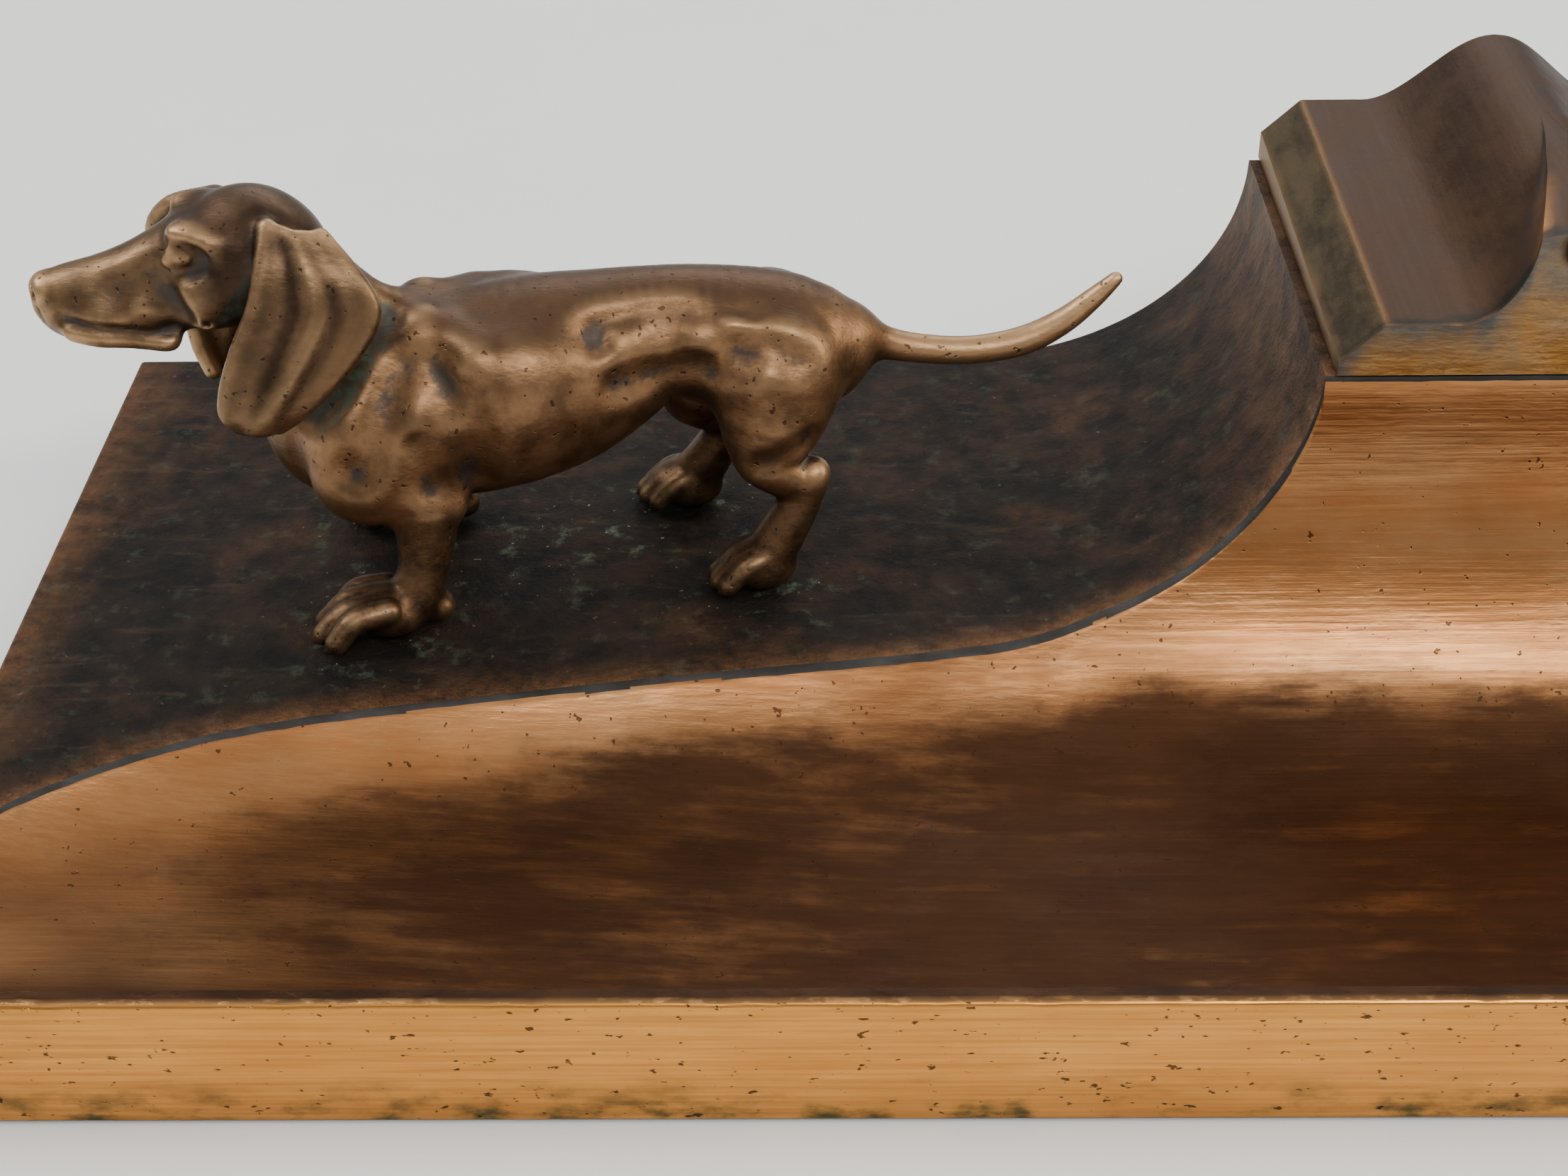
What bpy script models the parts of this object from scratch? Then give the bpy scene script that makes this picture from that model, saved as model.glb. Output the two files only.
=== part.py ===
"""Bronze desk inkstand: pen tray and shelf in one casting, hinged inkwell lid, standing dachshund.

Every size below is in millimetres and is turned to metres where a mesh is made.
Along the length x runs from the left end, in depth y runs from the front face, and z is the
height above the surface that the inkstand stands on.  The model's origin is the middle of its
footprint, on that surface, with the front face towards -Y.
"""

import math

import bmesh
import bpy
import numpy as np
from mathutils import Matrix, Vector

MM = 0.001
GAP = 0.3                    # clearance between touching pieces

# Base casting
LENGTH = 228.0               # left end to right end
DEPTH = 128.0                # front face to back face
SKIRT_Z = 0.6                # the casting's lower edge; the baize stands this much proud
SHELF_Z = 16.9               # top of the rim and of the shelf
RIM = 2.2                    # width of the rim round the tray
EDGE = 0.5                   # rounding of the outer top edges
WALL = 2.2                   # casting thickness
SWOOP_RUN = 37.0             # length over which the shelf sweeps up to the housing
FLARE_RUN = 10.4             # from the housing down to the right end
HOUSING_TOP = 46.6
SHELF_LINE = ((2.2, 0.317), (9.0, 0.446), (28.0, 0.604), (60.0, 0.705), (109.0, 0.814))
                             # front edge of the shelf in plan, left of the swoop: x, and y as a
                             # share of the way from the front face to the housing's front
TRAY_LEFT_DEPTH = 4.4
TRAY_RIGHT_DEPTH = 10.9
TRAY_LEFT_END = 12.0         # length over which the tray's floor rises at its left end
TRAY_RIGHT_END = 16.0
FRONT_SWEEP = 9.0            # how far the tray's front wall curves in
BACK_SWEEP = 30.0            # how far forward the housing's front sweeps out
SWEEP_RISE = 36.0            # and how high above the floor that sweep turns upright
SWEEP_LEAD = 25.0            # the sweep keeps its full section from this far left of the housing

# Ink well
LINER_RADIUS = 19.0
LINER_WALL = 2.2
LINER_FLANGE = 3.0
LINER_FLANGE_THICK = 1.6
LINER_HEIGHT = 34.0
LINER_FLOOR = 3.5
LINER_PLAY = 0.8             # round the cup, in the well's mouth
LINER_ROOM = 5.0             # round the flange, inside the lid
WELL_LONGER = 0.5            # how much deeper than wide the room under the lid is

# Lid
LID_LEDGE = 1.2              # housing edge left showing at each side of the lid
LID_SIDE = 1.8               # upright part of the lid's side
LID_CHAMFER = 4.8
LID_RISE = 6.4               # plate top above the seam, at the front
LID_TILT = 1.7               # how much higher it stands at the back
LID_WALL = 2.0
HOOD_HALF = 16.2             # half width of the raised hood at its foot
HOOD_CREST = ((0.0, 10.6), (0.5, 9.7), (1.0, 8.8))
                             # the hood's crest: share of the lid's depth, height above the plate
HOOD_EDGE = ((0.0, 8.6), (0.2, 5.2), (0.33, 3.2), (0.57, 0.5), (1.0, 0.2))
                             # half width of the crest at shares of the lid's depth
HOOD_SOFT = 0.6              # share of the depth over which its flanks turn from coved to bell-shaped
TAB_WIDTH = 11.0
TAB_FOOT = 5.0               # foot of the thumb piece above the plate
TAB_HEIGHT = 11.0
TAB_THICK = 2.4

# Hinge
KNUCKLE_RADIUS = 1.9
KNUCKLE_LENGTH = 5.8
KNUCKLE_SET = 0.15           # how far the barrels stand behind the leaves' front faces
PIN_RADIUS = 0.7
LEAF_THICK = 0.9
LEAF_HEIGHT = 6.5
HINGE_SCREW_RADIUS = 0.8
HINGE_SCREW_LENGTH = 3.4
HINGE_HEAD_RADIUS = 1.5

# Underside
BAIZE_THICK = 1.2
BOARD_THICK = 2.0
BOARD_SCREW_RADIUS = 1.1
BOARD_HEAD_RADIUS = 2.2
BOSS_RADIUS = 3.6
BOSS_INSET = 9.0

# Dog, in its own frame: along the body from nose side to tail, across it, and above the shelf
DOG_X = 40.0
DOG_FROM_BACK = 53.0
DOG_TURN = 8.0               # degrees the dog stands askew on the shelf
DOG_SCALE = 1.0
DOG_SCREW_RADIUS = 1.1
DOG_SCREW_LENGTH = 6.0
DOG_WASHER_RADIUS = 3.4
DOG_WASHER_THICK = 0.6

LID_ROOM = 2 * (LINER_RADIUS + LINER_FLANGE + LINER_ROOM)
HOUSING_WIDTH = LID_ROOM + 2 * (LID_WALL + LID_LEDGE)
HOUSING_RIGHT = LENGTH - RIM - FLARE_RUN
HOUSING_LEFT = HOUSING_RIGHT - HOUSING_WIDTH
SWOOP_START = HOUSING_LEFT - SWOOP_RUN
SWEEP_LEFT = HOUSING_LEFT - SWEEP_LEAD
HOUSING_FRONT = DEPTH - LID_ROOM - WELL_LONGER - 2 * LID_WALL
WELL_X = HOUSING_LEFT + HOUSING_WIDTH / 2
WELL_Y = (HOUSING_FRONT + DEPTH) / 2
HINGE_Y = DEPTH + GAP + KNUCKLE_SET + KNUCKLE_RADIUS
HINGE_Z = HOUSING_TOP + GAP / 2
SEAM_Z = HOUSING_TOP + GAP
LID_LEFT = HOUSING_LEFT + LID_LEDGE
LID_RIGHT = HOUSING_RIGHT - LID_LEDGE
BOARD_Z = BAIZE_THICK + GAP
RECESS_Z = BOARD_Z + BOARD_THICK + GAP
WELL_RADIUS = LINER_RADIUS + LINER_PLAY
ORIGIN = Vector((LENGTH / 2, (HINGE_Y + KNUCKLE_RADIUS) / 2, 0.0))

COLLECTION = "inkstand"
CUTTERS = "cutters"


def world(point):
    """A place in the sizes' millimetres, as metres from the model's origin."""
    return (Vector(point) - ORIGIN) * MM


def start():
    for thing in list(bpy.data.objects):
        bpy.data.objects.remove(thing, do_unlink=True)
    for name in (COLLECTION, CUTTERS):
        group = bpy.data.collections.new(name)
        bpy.context.scene.collection.children.link(group)


def finish_of(name, colour, roughness, metallic):
    material = bpy.data.materials.new(name)
    material.use_nodes = True
    shader = material.node_tree.nodes["Principled BSDF"]
    shader.inputs["Base Color"].default_value = (*colour, 1.0)
    shader.inputs["Roughness"].default_value = roughness
    shader.inputs["Metallic"].default_value = metallic
    return material


def add(name, mesh, material=None, collection=COLLECTION):
    thing = bpy.data.objects.new(name, mesh)
    bpy.data.collections[collection].objects.link(thing)
    if material is not None:
        mesh.materials.append(material)
    if collection == CUTTERS:
        thing.hide_render = True
        thing.display_type = "WIRE"
    return thing


def mesh_from(name, shape, smooth=40.0):
    bmesh.ops.recalc_face_normals(shape, faces=shape.faces)
    mesh = bpy.data.meshes.new(name)
    shape.to_mesh(mesh)
    shape.free()
    mesh.shade_smooth()
    mesh.set_sharp_from_angle(angle=math.radians(smooth))
    return mesh


def box(name, low, high, material=None, collection=COLLECTION, round_by=0.0):
    """A box between two corners, its origin at its middle."""
    low, high = Vector(low), Vector(high)
    shape = bmesh.new()
    bmesh.ops.create_cube(shape, size=1.0)
    bmesh.ops.scale(shape, vec=(high - low) * MM, verts=shape.verts)
    thing = add(name, mesh_from(name, shape), material, collection)
    thing.location = world((low + high) / 2)
    if round_by:
        bevel(thing, round_by)
    return thing


def cylinder(name, radius, low, length, material=None, collection=COLLECTION, turn=None,
             sides=32, top_radius=None):
    """A cylinder or cone that starts at low and runs up, or along X or Y with turn."""
    shape = bmesh.new()
    end = radius if top_radius is None else top_radius
    bmesh.ops.create_cone(shape, cap_ends=True, segments=sides, radius1=radius * MM,
                          radius2=end * MM, depth=length * MM)
    bmesh.ops.translate(shape, vec=(0, 0, length * MM / 2), verts=shape.verts)
    thing = add(name, mesh_from(name, shape), material, collection)
    thing.location = world(low)
    if turn == "X":
        thing.rotation_euler = (0, math.radians(90), 0)
    if turn == "Y":
        thing.rotation_euler = (math.radians(-90), 0, 0)
    return thing


def turned(name, profile, place, material, collection=COLLECTION, steps=40, turn=None):
    """A lathe-turned piece: the profile runs from the top of the axis down its outer side."""
    shape = bmesh.new()
    closed = profile[0] == profile[-1]
    points = profile[:-1] if closed else profile
    corners = [shape.verts.new((r * MM, 0, z * MM)) for r, z in points]
    for first, second in zip(corners, corners[1:] + (corners[:1] if closed else [])):
        shape.edges.new((first, second))
    mesh = bpy.data.meshes.new(name)
    shape.to_mesh(mesh)
    shape.free()
    thing = add(name, mesh, material, collection)
    screw = thing.modifiers.new("turn", "SCREW")
    screw.steps = steps
    screw.render_steps = steps
    screw.use_merge_vertices = True
    screw.merge_threshold = 0.00001
    thing.location = world(place)
    if turn == "Y":
        thing.rotation_euler = (math.radians(-90), 0, 0)
    return thing


def bevel(thing, width, segments=2, limit=35.0):
    step = thing.modifiers.new("round", "BEVEL")
    step.width = width * MM
    step.segments = segments
    step.limit_method = "ANGLE"
    step.angle_limit = math.radians(limit)
    return step


def boolean(thing, cutter, operation="DIFFERENCE"):
    step = thing.modifiers.new(cutter.name, "BOOLEAN")
    step.operation = operation
    step.solver = "EXACT"
    step.object = cutter
    return step


def block_under(name, grid, floor_z, material=None, collection=COLLECTION):
    """A closed block whose top is a grid of points and whose flat underside lies at floor_z."""
    shape = bmesh.new()
    top = [[shape.verts.new(world(p)) for p in row] for row in grid]
    low = [[shape.verts.new(world((p[0], p[1], floor_z))) for p in row] for row in grid]
    rows, columns = len(grid), len(grid[0])
    for i in range(rows - 1):
        for j in range(columns - 1):
            shape.faces.new((top[i][j], top[i + 1][j], top[i + 1][j + 1], top[i][j + 1]))
            shape.faces.new((low[i][j], low[i][j + 1], low[i + 1][j + 1], low[i + 1][j]))
    for j in range(columns - 1):
        shape.faces.new((top[0][j], top[0][j + 1], low[0][j + 1], low[0][j]))
        shape.faces.new((top[-1][j], low[-1][j], low[-1][j + 1], top[-1][j + 1]))
    for i in range(rows - 1):
        shape.faces.new((top[i][0], low[i][0], low[i + 1][0], top[i + 1][0]))
        shape.faces.new((top[i][-1], top[i + 1][-1], low[i + 1][-1], low[i][-1]))
    return add(name, mesh_from(name, shape), material, collection)


def ease(value, low, high):
    """0 below low, 1 above high and a smooth rise between."""
    t = min(max((value - low) / (high - low), 0.0), 1.0)
    return t * t * (3 - 2 * t)


def arch(t):
    """Quarter circle: 1 at t = 0, falling to 0 at t = 1."""
    return math.sqrt(max(0.0, 1 - min(max(t, 0.0), 1.0) ** 2))


# ---------------------------------------------------------------- base casting

def smooth_through(points, x):
    """Height at x of a smooth curve through points, level beyond its ends."""
    if x <= points[0][0]:
        return points[0][1]
    if x >= points[-1][0]:
        return points[-1][1]
    slopes = []
    for k in range(len(points)):
        before, after = points[max(k - 1, 0)], points[min(k + 1, len(points) - 1)]
        slopes.append((after[1] - before[1]) / (after[0] - before[0]))
    k = max(i for i, p in enumerate(points) if p[0] <= x)
    (x0, y0), (x1, y1) = points[k], points[k + 1]
    run = x1 - x0
    t = (x - x0) / run
    return ((2 * t**3 - 3 * t**2 + 1) * y0 + (t**3 - 2 * t**2 + t) * run * slopes[k]
            + (3 * t**2 - 2 * t**3) * y1 + (t**3 - t**2) * run * slopes[k + 1])


def ledge_height(x):
    """Height behind the tray line: shelf, swoop, housing top, then the flare to the right end."""
    rise = HOUSING_TOP - SHELF_Z
    if x < HOUSING_LEFT:
        return HOUSING_TOP - rise * arch((x - SWOOP_START) / (HOUSING_LEFT - SWOOP_START))
    if x <= HOUSING_RIGHT:
        return HOUSING_TOP
    flare = LENGTH - RIM - HOUSING_RIGHT
    return HOUSING_TOP - rise * arch((LENGTH - RIM - x) / flare)


def tray_depth(x):
    """Depth of the tray below the rim: shallow at the left, deeper in front of the housing."""
    return TRAY_LEFT_DEPTH + (TRAY_RIGHT_DEPTH - TRAY_LEFT_DEPTH) * ease(x, 10.0, SWEEP_LEFT)


def tray_floor(x):
    """Height of the tray's floor, which rises to the rim at both ends."""
    left = arch((RIM + TRAY_LEFT_END - x) / TRAY_LEFT_END)
    right = arch((x - LENGTH + RIM + TRAY_RIGHT_END) / TRAY_RIGHT_END)
    return SHELF_Z - tray_depth(x) * left * right


def tray_sweep(x):
    """Where the tray's back slope starts, its run and its rise: a quarter ellipse in section."""
    full = HOUSING_FRONT - BACK_SWEEP
    turn = math.acos(1 - tray_depth(x) / SWEEP_RISE)
    line = [(u, v * HOUSING_FRONT) for u, v in SHELF_LINE]
    line.append((SWEEP_LEFT, full + BACK_SWEEP * math.sin(turn)))
    edge = smooth_through(line, x)
    reach = min(BACK_SWEEP * math.sin(turn), edge - RIM - FRONT_SWEEP - 1.0)
    rise = (SHELF_Z - tray_floor(x)) / (1 - math.cos(turn))
    return edge - reach, reach / math.sin(turn), rise


def base_section(x):
    """The casting's top in the plane across it at x, as (y, z) from front to back."""
    top, floor = ledge_height(x), tray_floor(x)
    start_y, run, rise = tray_sweep(x)
    drop = EDGE if x <= 0 or x >= LENGTH else 0.0
    points = [(0.0, SHELF_Z - EDGE), (EDGE, SHELF_Z - drop), (RIM, SHELF_Z - drop)]
    for k in range(1, 6):
        a = math.radians(18 * k)
        points.append((RIM + FRONT_SWEEP * (1 - math.cos(a)),
                       SHELF_Z - drop - (SHELF_Z - floor) * math.sin(a)))
    points.append(((RIM + FRONT_SWEEP + start_y) / 2, floor - drop))
    climb = (top - floor) / rise if rise > 0.01 else 1 - math.cos(math.radians(45))
    turn = math.acos(max(0.0, 1 - climb))
    for k in range(10):
        a = turn * k / 10
        points.append((start_y + run * math.sin(a), floor - drop + rise * (1 - math.cos(a))))
    back = start_y + run * math.sin(turn)
    for k in range(5):
        points.append((back + (DEPTH - EDGE - back) * k / 4, top - drop))
    points.append((DEPTH, top - EDGE))
    return points


def base_stations():
    """Places along the length where the casting's section is taken."""
    left = [0.0, EDGE, RIM, 3.2, 5.5, 9.0, 14.2, 22, 32, 44, 57, 71, 85, 98, 109]
    swoop = [SWOOP_START + (HOUSING_LEFT - SWOOP_START) * math.sin(math.radians(a))
             for a in (0, 15, 30, 42, 53, 63, 72, 80, 86)]
    housing = [HOUSING_LEFT + HOUSING_WIDTH * k / 6 for k in range(7)]
    flare = [LENGTH - RIM - (LENGTH - RIM - HOUSING_RIGHT) * math.sin(math.radians(a))
             for a in (80, 66, 50, 32, 14)]
    return left + swoop + housing + flare + [LENGTH - RIM, LENGTH - EDGE, LENGTH]


def section_height(section, y):
    ys = [p[0] for p in section]
    zs = [p[1] for p in section]
    return float(np.interp(y, ys, zs))


def core_grid(xs, ys, section, wall, lowest):
    """Underside of a casting: its top moved in by the wall thickness, never below lowest."""
    ball = [(0.0, 0.0)]
    ball += [(wall * r * math.cos(math.radians(a)), wall * r * math.sin(math.radians(a)))
             for r in (0.6, 0.95) for a in range(0, 360, 45)]
    cache = {}
    grid = []
    for x in xs:
        row = []
        for y in ys:
            heights = []
            for u, v in ball:
                key = round(x + u, 3)
                if key not in cache:
                    cache[key] = section(key)
                lift = math.sqrt(max(0.0, wall**2 - u**2 - v**2))
                heights.append(section_height(cache[key], y + v) - lift)
            row.append((x, y, max(lowest, min(heights))))
        grid.append(row)
    return grid


def make_base(bronze):
    grid = [[(x, y, z) for y, z in base_section(x)] for x in base_stations()]
    base = block_under("base_casting", grid, SKIRT_Z, bronze)
    shelf = [WALL, 5.5, 9, 13.5, 20] + [20 + (SWOOP_START - 20) * k / 4 for k in (0.4, 1.0, 1.8, 2.9, 4)]
    swoop = [SWOOP_START + SWOOP_RUN * k for k in (0.27, 0.49, 0.68, 0.81, 0.89, 0.96)]
    well = [HOUSING_LEFT + WALL - 0.4, HOUSING_LEFT + WALL + 0.4, WELL_X - 13, WELL_X, WELL_X + 13,
            HOUSING_RIGHT - WALL - 0.4, HOUSING_RIGHT - WALL + 0.6]
    flare = [HOUSING_RIGHT + FLARE_RUN * k for k in (0.25, 0.54, 0.78)]
    inner = shelf + swoop + well + flare + [LENGTH - WALL]
    front = [WALL, 5.5, 9, 14] + [14 + (HOUSING_FRONT - 14) * k for k in (0.18, 0.36, 0.54, 0.72, 0.83)]
    wall = [HOUSING_FRONT + k for k in (-5.5, -2.5, -0.5, 1.0, 1.9, 2.7)]
    behind = [HOUSING_FRONT + (DEPTH - HOUSING_FRONT) * k for k in (0.25, 0.5, 0.74)]
    across = front + wall + behind + [DEPTH - WALL]
    core = block_under("base_core", core_grid(inner, across, base_section, WALL, RECESS_Z), -2.0,
                       collection=CUTTERS)
    boolean(base, core)
    mouth = cylinder("well_mouth", WELL_RADIUS, (WELL_X, WELL_Y, HOUSING_TOP - 8), 20,
                     collection=CUTTERS, sides=48)
    boolean(base, mouth)
    return base


# ---------------------------------------------------------------- lid

def hood_edge(y):
    """Half width of the hood's crest at y, and how far its flanks have turned bell-shaped."""
    share = (y - HOUSING_FRONT) / (DEPTH - HOUSING_FRONT)
    return smooth_through(HOOD_EDGE, share), ease(share, 0.0, HOOD_SOFT)


def hood_height(x, y):
    """Extra height of the raised hood over the lid's plate."""
    edge, bell = hood_edge(y)
    across = min(max((HOOD_HALF - abs(x - WELL_X)) / (HOOD_HALF - edge), 0.0), 1.0)
    share = (y - HOUSING_FRONT) / (DEPTH - HOUSING_FRONT)
    flank = (1 - bell) * (1 - arch(across)) + bell * (0.5 - 0.5 * math.cos(math.pi * across))
    return smooth_through(HOOD_CREST, share) * flank


def lid_height(x, y):
    """Height of the lid's top above the surface that the inkstand stands on."""
    side = min(x - LID_LEFT, LID_RIGHT - x)
    plate = LID_SIDE + (LID_RISE - LID_SIDE) * min(max(side / LID_CHAMFER, 0.0), 1.0)
    tilt = LID_TILT * (y - HOUSING_FRONT) / (DEPTH - HOUSING_FRONT)
    return SEAM_Z + plate + tilt + hood_height(x, y)


def lid_stations(count):
    return [HOUSING_FRONT + (DEPTH - HOUSING_FRONT) * k / (count - 1) for k in range(count)]


def lid_section(x):
    """The lid's top in the plane across it at x, as (y, z) from front to back."""
    return [(y, lid_height(x, y)) for y in lid_stations(15)]


def lid_columns(y):
    """Places across the lid where its height is taken at y; they follow the hood's flanks."""
    foot = WELL_X - HOOD_HALF
    crest = WELL_X - hood_edge(y)[0]
    half = [LID_LEFT, LID_LEFT + LID_CHAMFER, (LID_LEFT + LID_CHAMFER + foot) / 2, foot]
    half += [foot + (crest - foot) * math.sin(math.radians(a)) for a in (12, 24, 36, 47, 57, 66, 75, 90)]
    half.append((crest + WELL_X) / 2)
    return half + [WELL_X] + [2 * WELL_X - x for x in half[::-1]]


def make_lid(bronze):
    rows = [[(x, y, lid_height(x, y)) for x in lid_columns(y)] for y in lid_stations(21)]
    grid = [list(column) for column in zip(*rows)]
    lid = block_under("lid_casting", grid, SEAM_Z, bronze)
    count = 15
    inner = [LID_LEFT + LID_WALL + (LID_RIGHT - LID_LEFT - 2 * LID_WALL) * k / (count - 1)
             for k in range(count)]
    across = [HOUSING_FRONT + LID_WALL + (DEPTH - HOUSING_FRONT - 2 * LID_WALL) * k / 10
              for k in range(11)]
    core = block_under("lid_core", core_grid(inner, across, lid_section, LID_WALL, SEAM_Z + 0.5),
                       SEAM_Z - 5, collection=CUTTERS)
    boolean(lid, core)
    return lid


def make_thumb_piece(bronze):
    """Leaf-shaped plate brazed upright on the front of the hood."""
    foot = SEAM_Z + LID_RISE + TAB_FOOT
    half = TAB_WIDTH / 2
    outline = [(0.0, 0.0), (0.55 * half, 0.06), (half, 0.28), (0.92 * half, 0.58), (0.5 * half, 0.88),
               (0.0, 1.0)]
    curve = bpy.data.curves.new("lid_thumb_piece", "CURVE")
    curve.dimensions = "2D"
    curve.fill_mode = "BOTH"
    curve.extrude = TAB_THICK * MM / 2
    ring = outline + [(-u, v) for u, v in outline[-2:0:-1]]
    spline = curve.splines.new("POLY")
    spline.points.add(len(ring) - 1)
    for place, (u, v) in zip(spline.points, ring):
        place.co = (u * MM, v * TAB_HEIGHT * MM, 0, 1)
    spline.use_cyclic_u = True
    guide = bpy.data.objects.new("thumb_outline", curve)
    bpy.context.scene.collection.objects.link(guide)
    guide.rotation_euler = (math.radians(90), 0, 0)
    guide.location = world((WELL_X, HOUSING_FRONT - GAP - TAB_THICK / 2, foot))
    bpy.context.view_layer.update()
    solid = bpy.data.meshes.new_from_object(guide.evaluated_get(
        bpy.context.evaluated_depsgraph_get()))
    shape = bmesh.new()
    shape.from_mesh(solid)
    bmesh.ops.remove_doubles(shape, verts=shape.verts, dist=0.00001)
    place = guide.matrix_world.copy()
    bpy.data.objects.remove(guide, do_unlink=True)
    thing = add("lid_thumb_piece", mesh_from("lid_thumb_piece", shape), bronze)
    thing.matrix_world = place
    bevel(thing, 0.5)
    return thing


# ---------------------------------------------------------------- hinge

def make_hinge(brass, steel):
    length = KNUCKLE_LENGTH * 3 + GAP * 2
    left = WELL_X - length / 2
    starts = [left + k * (KNUCKLE_LENGTH + GAP) for k in range(3)]
    top, low = HINGE_Z + KNUCKLE_RADIUS + GAP, HINGE_Z - KNUCKLE_RADIUS - GAP
    near, far = DEPTH + GAP, DEPTH + GAP + LEAF_THICK
    base_leaf = box("hinge_base_leaf", (left, near, low - LEAF_HEIGHT), (left + length, far, HINGE_Z),
                    brass)
    lid_leaf = box("hinge_lid_leaf", (left, near, HINGE_Z), (left + length, far, top + LEAF_HEIGHT),
                   brass)
    for k, x in enumerate(starts):
        other = base_leaf if k == 1 else lid_leaf
        room = box(f"knuckle_room_{k}", (x - GAP, near - 2, low), (x + KNUCKLE_LENGTH + GAP, far + 2, top),
                   collection=CUTTERS)
        boolean(other, room)
    for k, x in enumerate(starts):
        owner = lid_leaf if k == 1 else base_leaf
        barrel = cylinder(f"knuckle_{k}", KNUCKLE_RADIUS, (x, HINGE_Y, HINGE_Z), KNUCKLE_LENGTH,
                          collection=CUTTERS, turn="X", sides=24)
        boolean(owner, barrel, "UNION")
    bore = cylinder("pin_bore", PIN_RADIUS + GAP, (left - 4, HINGE_Y, HINGE_Z), length + 8,
                    collection=CUTTERS, turn="X", sides=20)
    boolean(base_leaf, bore)
    boolean(lid_leaf, bore)
    head = 1.0
    pin = cylinder("hinge_pin", PIN_RADIUS, (left - GAP - head / 2, HINGE_Y, HINGE_Z),
                   length + 2 * GAP + head, steel, turn="X", sides=20)
    for k, x in enumerate((left - GAP - head, left + length + GAP)):
        cap = cylinder(f"pin_head_{k}", PIN_RADIUS + 0.7, (x, HINGE_Y, HINGE_Z), head,
                       collection=CUTTERS, turn="X", sides=20)
        boolean(pin, cap, "UNION")
    return base_leaf, lid_leaf


def hinge_screw(name, x, z, steel, pieces):
    """Round-headed screw through a leaf into the wall behind it, and its holes."""
    face = DEPTH + GAP + LEAF_THICK + GAP
    profile = [(0.0, 1.0), (0.8, 0.85), (1.3, 0.45), (HINGE_HEAD_RADIUS, 0.0),
               (HINGE_SCREW_RADIUS, 0.0), (HINGE_SCREW_RADIUS, -HINGE_SCREW_LENGTH + 0.5),
               (0.0, -HINGE_SCREW_LENGTH)]
    screw = turned(name, profile, (x, face, z), steel, steps=16, turn="Y")
    hole = cylinder(f"{name}_hole", HINGE_SCREW_RADIUS + GAP, (x, face + 2, z), 9,
                    collection=CUTTERS, turn="Y", sides=20)
    hole.rotation_euler = (math.radians(90), 0, 0)
    for piece in pieces:
        boolean(piece, hole)
    return screw


# ---------------------------------------------------------------- ink liner and underside

def make_liner(glass):
    """Glass cup that drops through the well's mouth and hangs by its flange."""
    top = LINER_FLANGE_THICK
    low = top - LINER_HEIGHT
    inside = LINER_RADIUS - LINER_WALL
    outer = LINER_RADIUS + LINER_FLANGE
    profile = [(0.0, low + LINER_FLOOR), (inside - 2, low + LINER_FLOOR), (inside, low + LINER_FLOOR + 2),
               (inside, top - 0.6), (inside + 0.6, top), (outer - 0.6, top), (outer, top - 0.6),
               (outer, 0.0), (LINER_RADIUS, 0.0), (LINER_RADIUS, low + 1.5),
               (LINER_RADIUS - 1.5, low), (0.0, low)]
    return turned("ink_liner", profile, (WELL_X, WELL_Y, HOUSING_TOP + GAP), glass, steps=40)


def board_corners():
    inset = WALL + BOSS_INSET
    return [(x, y) for x in (inset, LENGTH - inset) for y in (inset, DEPTH - inset)]


def make_underside(base, board_material, baize, bronze, steel):
    """Board let into the casting, the baize glued under it and the screws that hold the board."""
    low = WALL + GAP
    board = box("bottom_board", (low, low, BOARD_Z), (LENGTH - low, DEPTH - low, BOARD_Z + BOARD_THICK),
                board_material)
    pad = box("baize_pad", (low + 1, low + 1, 0.0), (LENGTH - low - 1, DEPTH - low - 1, BAIZE_THICK),
              baize)
    for k, (x, y) in enumerate(board_corners()):
        ring = [(x + u, y + v) for u in (-BOSS_RADIUS, 0, BOSS_RADIUS) for v in (-BOSS_RADIUS, 0, BOSS_RADIUS)]
        under = min(section_height(base_section(u), v) for u, v in ring)
        height = under - WALL * 0.5 - RECESS_Z
        boss = cylinder(f"boss_{k}", BOSS_RADIUS, (x, y, RECESS_Z), height, collection=CUTTERS, sides=24)
        boolean(base, boss, "UNION")
        name = f"board_screw_{k + 1}"
        sink = BOARD_HEAD_RADIUS - BOARD_SCREW_RADIUS
        depth = min(height - 0.8, 4.0) + RECESS_Z - BOARD_Z
        profile = [(0.0, depth), (BOARD_SCREW_RADIUS, depth - 0.5), (BOARD_SCREW_RADIUS, sink),
                   (BOARD_HEAD_RADIUS, 0.0), (0.0, 0.0)]
        turned(name, profile, (x, y, BOARD_Z), steel, steps=20)
        grown = [(0.0, depth + GAP), (BOARD_SCREW_RADIUS + GAP, depth + GAP),
                 (BOARD_SCREW_RADIUS + GAP, sink + GAP), (BOARD_HEAD_RADIUS + GAP + 0.3, -0.3),
                 (BOARD_HEAD_RADIUS + GAP + 0.3, -BOARD_Z - 1), (0.0, -BOARD_Z - 1)]
        hole = turned(f"{name}_hole", grown, (x, y, BOARD_Z), None, CUTTERS, steps=20)
        boolean(board, hole)
        boolean(base, hole)
    return board, pad


# ---------------------------------------------------------------- dog

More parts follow.
